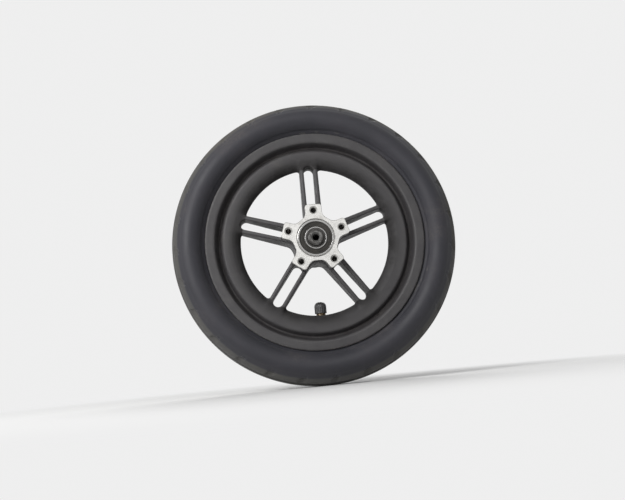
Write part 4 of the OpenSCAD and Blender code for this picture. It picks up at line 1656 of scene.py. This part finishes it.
@dataclass
class Studio:
    """Camera, soft lamps, pale floor and pale surroundings. Angles are in degrees."""

    azimuth: float = -2.993
    elevation: float = -8.332
    roll: float = 5.351
    distance: float = 0.632
    lens: float = 46.46
    sensor: float = 36.0
    clip_start: float = 0.01
    aim_left: float = 0.00141
    aim_down: float = 0.0049
    pale: Colour = (0.86, 0.86, 0.86)
    ambient: float = 0.2
    floor_z: float = -0.110
    floor_rings: Sequence[float] = (0.02, 0.15, 0.5, 1.5, 4.0)
    floor_steps: int = 96
    floor_other: Colour = (0.88, 0.88, 0.87)
    floor_clouds: float = 6.0
    floor_rough: float = 0.8
    floor_level: float = 0.1
    floor_fade: Pair = (0.14, 0.42)

    def camera(self) -> None:
        """The camera at the photograph's viewing angle."""
        az, el, roll = (math.radians(a) for a in (self.azimuth, self.elevation, self.roll))
        back = Vector((math.sin(az) * math.cos(el), -math.cos(az) * math.cos(el), math.sin(el)))
        right = Vector((0, 0, 1)).cross(back).normalized()
        up = back.cross(right)
        right, up = (right * math.cos(roll) - up * math.sin(roll),
                     right * math.sin(roll) + up * math.cos(roll))
        data = bpy.data.cameras.new("photo_camera")
        data.sensor_width, data.lens, data.clip_start = self.sensor, self.lens, self.clip_start
        made = bpy.data.objects.new("photo_camera", data)
        place = back * self.distance - right * self.aim_left - up * self.aim_down
        pose = Matrix((right, up, back)).transposed().to_4x4()
        made.matrix_world = Matrix.Translation(place) @ pose
        bpy.context.scene.collection.objects.link(made)
        bpy.context.scene.camera = made

    def lamp(self, name: str, place: Sequence[float], size: float, power: float) -> None:
        """A soft square lamp that faces the wheel.

        Args:
            name: the lamp's name.
            place: where it stands, in metres.
            size: its side, in metres.
            power: its power in watts.
        """
        data = bpy.data.lights.new(name, "AREA")
        data.shape, data.size, data.energy = "SQUARE", size, power
        made = bpy.data.objects.new(name, data)
        made.location = place
        made.rotation_euler = (-Vector(place)).to_track_quat("-Z", "Y").to_euler()
        bpy.context.scene.collection.objects.link(made)

    def floor(self) -> None:
        """A wide pale floor that the wheel stands on, and that fades into the surroundings."""
        steps = self.floor_steps
        rings = [np.column_stack([circle(steps) * r, np.full(steps, self.floor_z)])
                 for r in self.floor_rings]
        faces = [*grid_faces(len(rings), steps, False, True), range(steps)]
        made = make_object("studio_floor", np.concatenate(rings), faces)
        for face in made.data.polygons:
            if face.normal.z < 0:
                face.flip()
        paint = bpy.data.materials.new("pale_floor")
        paint.use_nodes = True
        nodes = Nodes(paint.node_tree)
        shader = paint.node_tree.nodes["Principled BSDF"]
        where = nodes.add("ShaderNodeTexCoord").outputs["Object"]
        cloud = nodes.noise(where, self.floor_clouds)
        colour = nodes.mix(cloud, (*self.pale, 1), (*self.floor_other, 1))
        nodes.put(colour, shader.inputs["Base Color"])
        nodes.put(self.floor_rough, shader.inputs["Roughness"])
        nodes.put(self.floor_level, shader.inputs["Specular IOR Level"])
        away = nodes.add("ShaderNodeVectorMath", {0: where}, operation="LENGTH").outputs["Value"]
        direct = nodes.add("ShaderNodeLightPath").outputs["Is Camera Ray"]
        seen = nodes.times(nodes.span(away, *self.floor_fade), direct)
        glow = nodes.add("ShaderNodeEmission", {"Color": (*self.pale, 1)}).outputs[0]
        fade = nodes.add("ShaderNodeMixShader", {0: seen, 1: shader.outputs[0], 2: glow})
        nodes.put(fade.outputs[0], paint.node_tree.nodes["Material Output"].inputs["Surface"])
        made.data.materials.append(paint)

    def surroundings(self) -> None:
        """A pale world: plain to the camera and in reflections, dimmer as light."""
        world = bpy.data.worlds.new("pale_studio")
        world.use_nodes = True
        nodes = Nodes(world.node_tree)
        shader = world.node_tree.nodes["Background"]
        ray = nodes.add("ShaderNodeLightPath").outputs
        seen = nodes.sum("MAXIMUM", ray["Is Camera Ray"], ray["Is Glossy Ray"])
        seen = nodes.sum("MAXIMUM", seen, ray["Is Transmission Ray"])
        levels = {"Value": seen, "To Min": self.ambient, "To Max": 1.0}
        strength = nodes.add("ShaderNodeMapRange", levels).outputs[0]
        nodes.put((*self.pale, 1), shader.inputs["Color"])
        nodes.put(strength, shader.inputs["Strength"])
        bpy.context.scene.world = world

    def build(self) -> None:
        """Sets up everything around the wheel."""
        self.camera()
        self.surroundings()
        self.floor()
        self.lamp("key_lamp", place=(-0.70, -0.82, 0.42), size=0.6, power=14.5)
        self.lamp("fill_lamp", place=(0.1, -1.2, 0.8), size=0.9, power=2.0)
        self.lamp("back_lamp", place=(0.2, 1.3, 0.9), size=0.9, power=10.0)
        bpy.context.scene.view_settings.view_transform = "Standard"


def main() -> None:
    """Builds the studio and the wheel, one sub-assembly after the other."""
    logging.basicConfig(level=logging.INFO, format="%(name)s: %(message)s")
    Studio().build()
    shop, casting = Workshop(), RimCasting()
    front, rear = HubBearing("front", middle=25.5), HubBearing("rear", middle=-19.5)
    for part in (casting, MachinedFaces(casting), Tyre(), front, rear, AxleSet(), TyreValve()):
        log.info("building %s", type(part).__name__)
        part.build(shop)


if __name__ == "__main__":
    main()
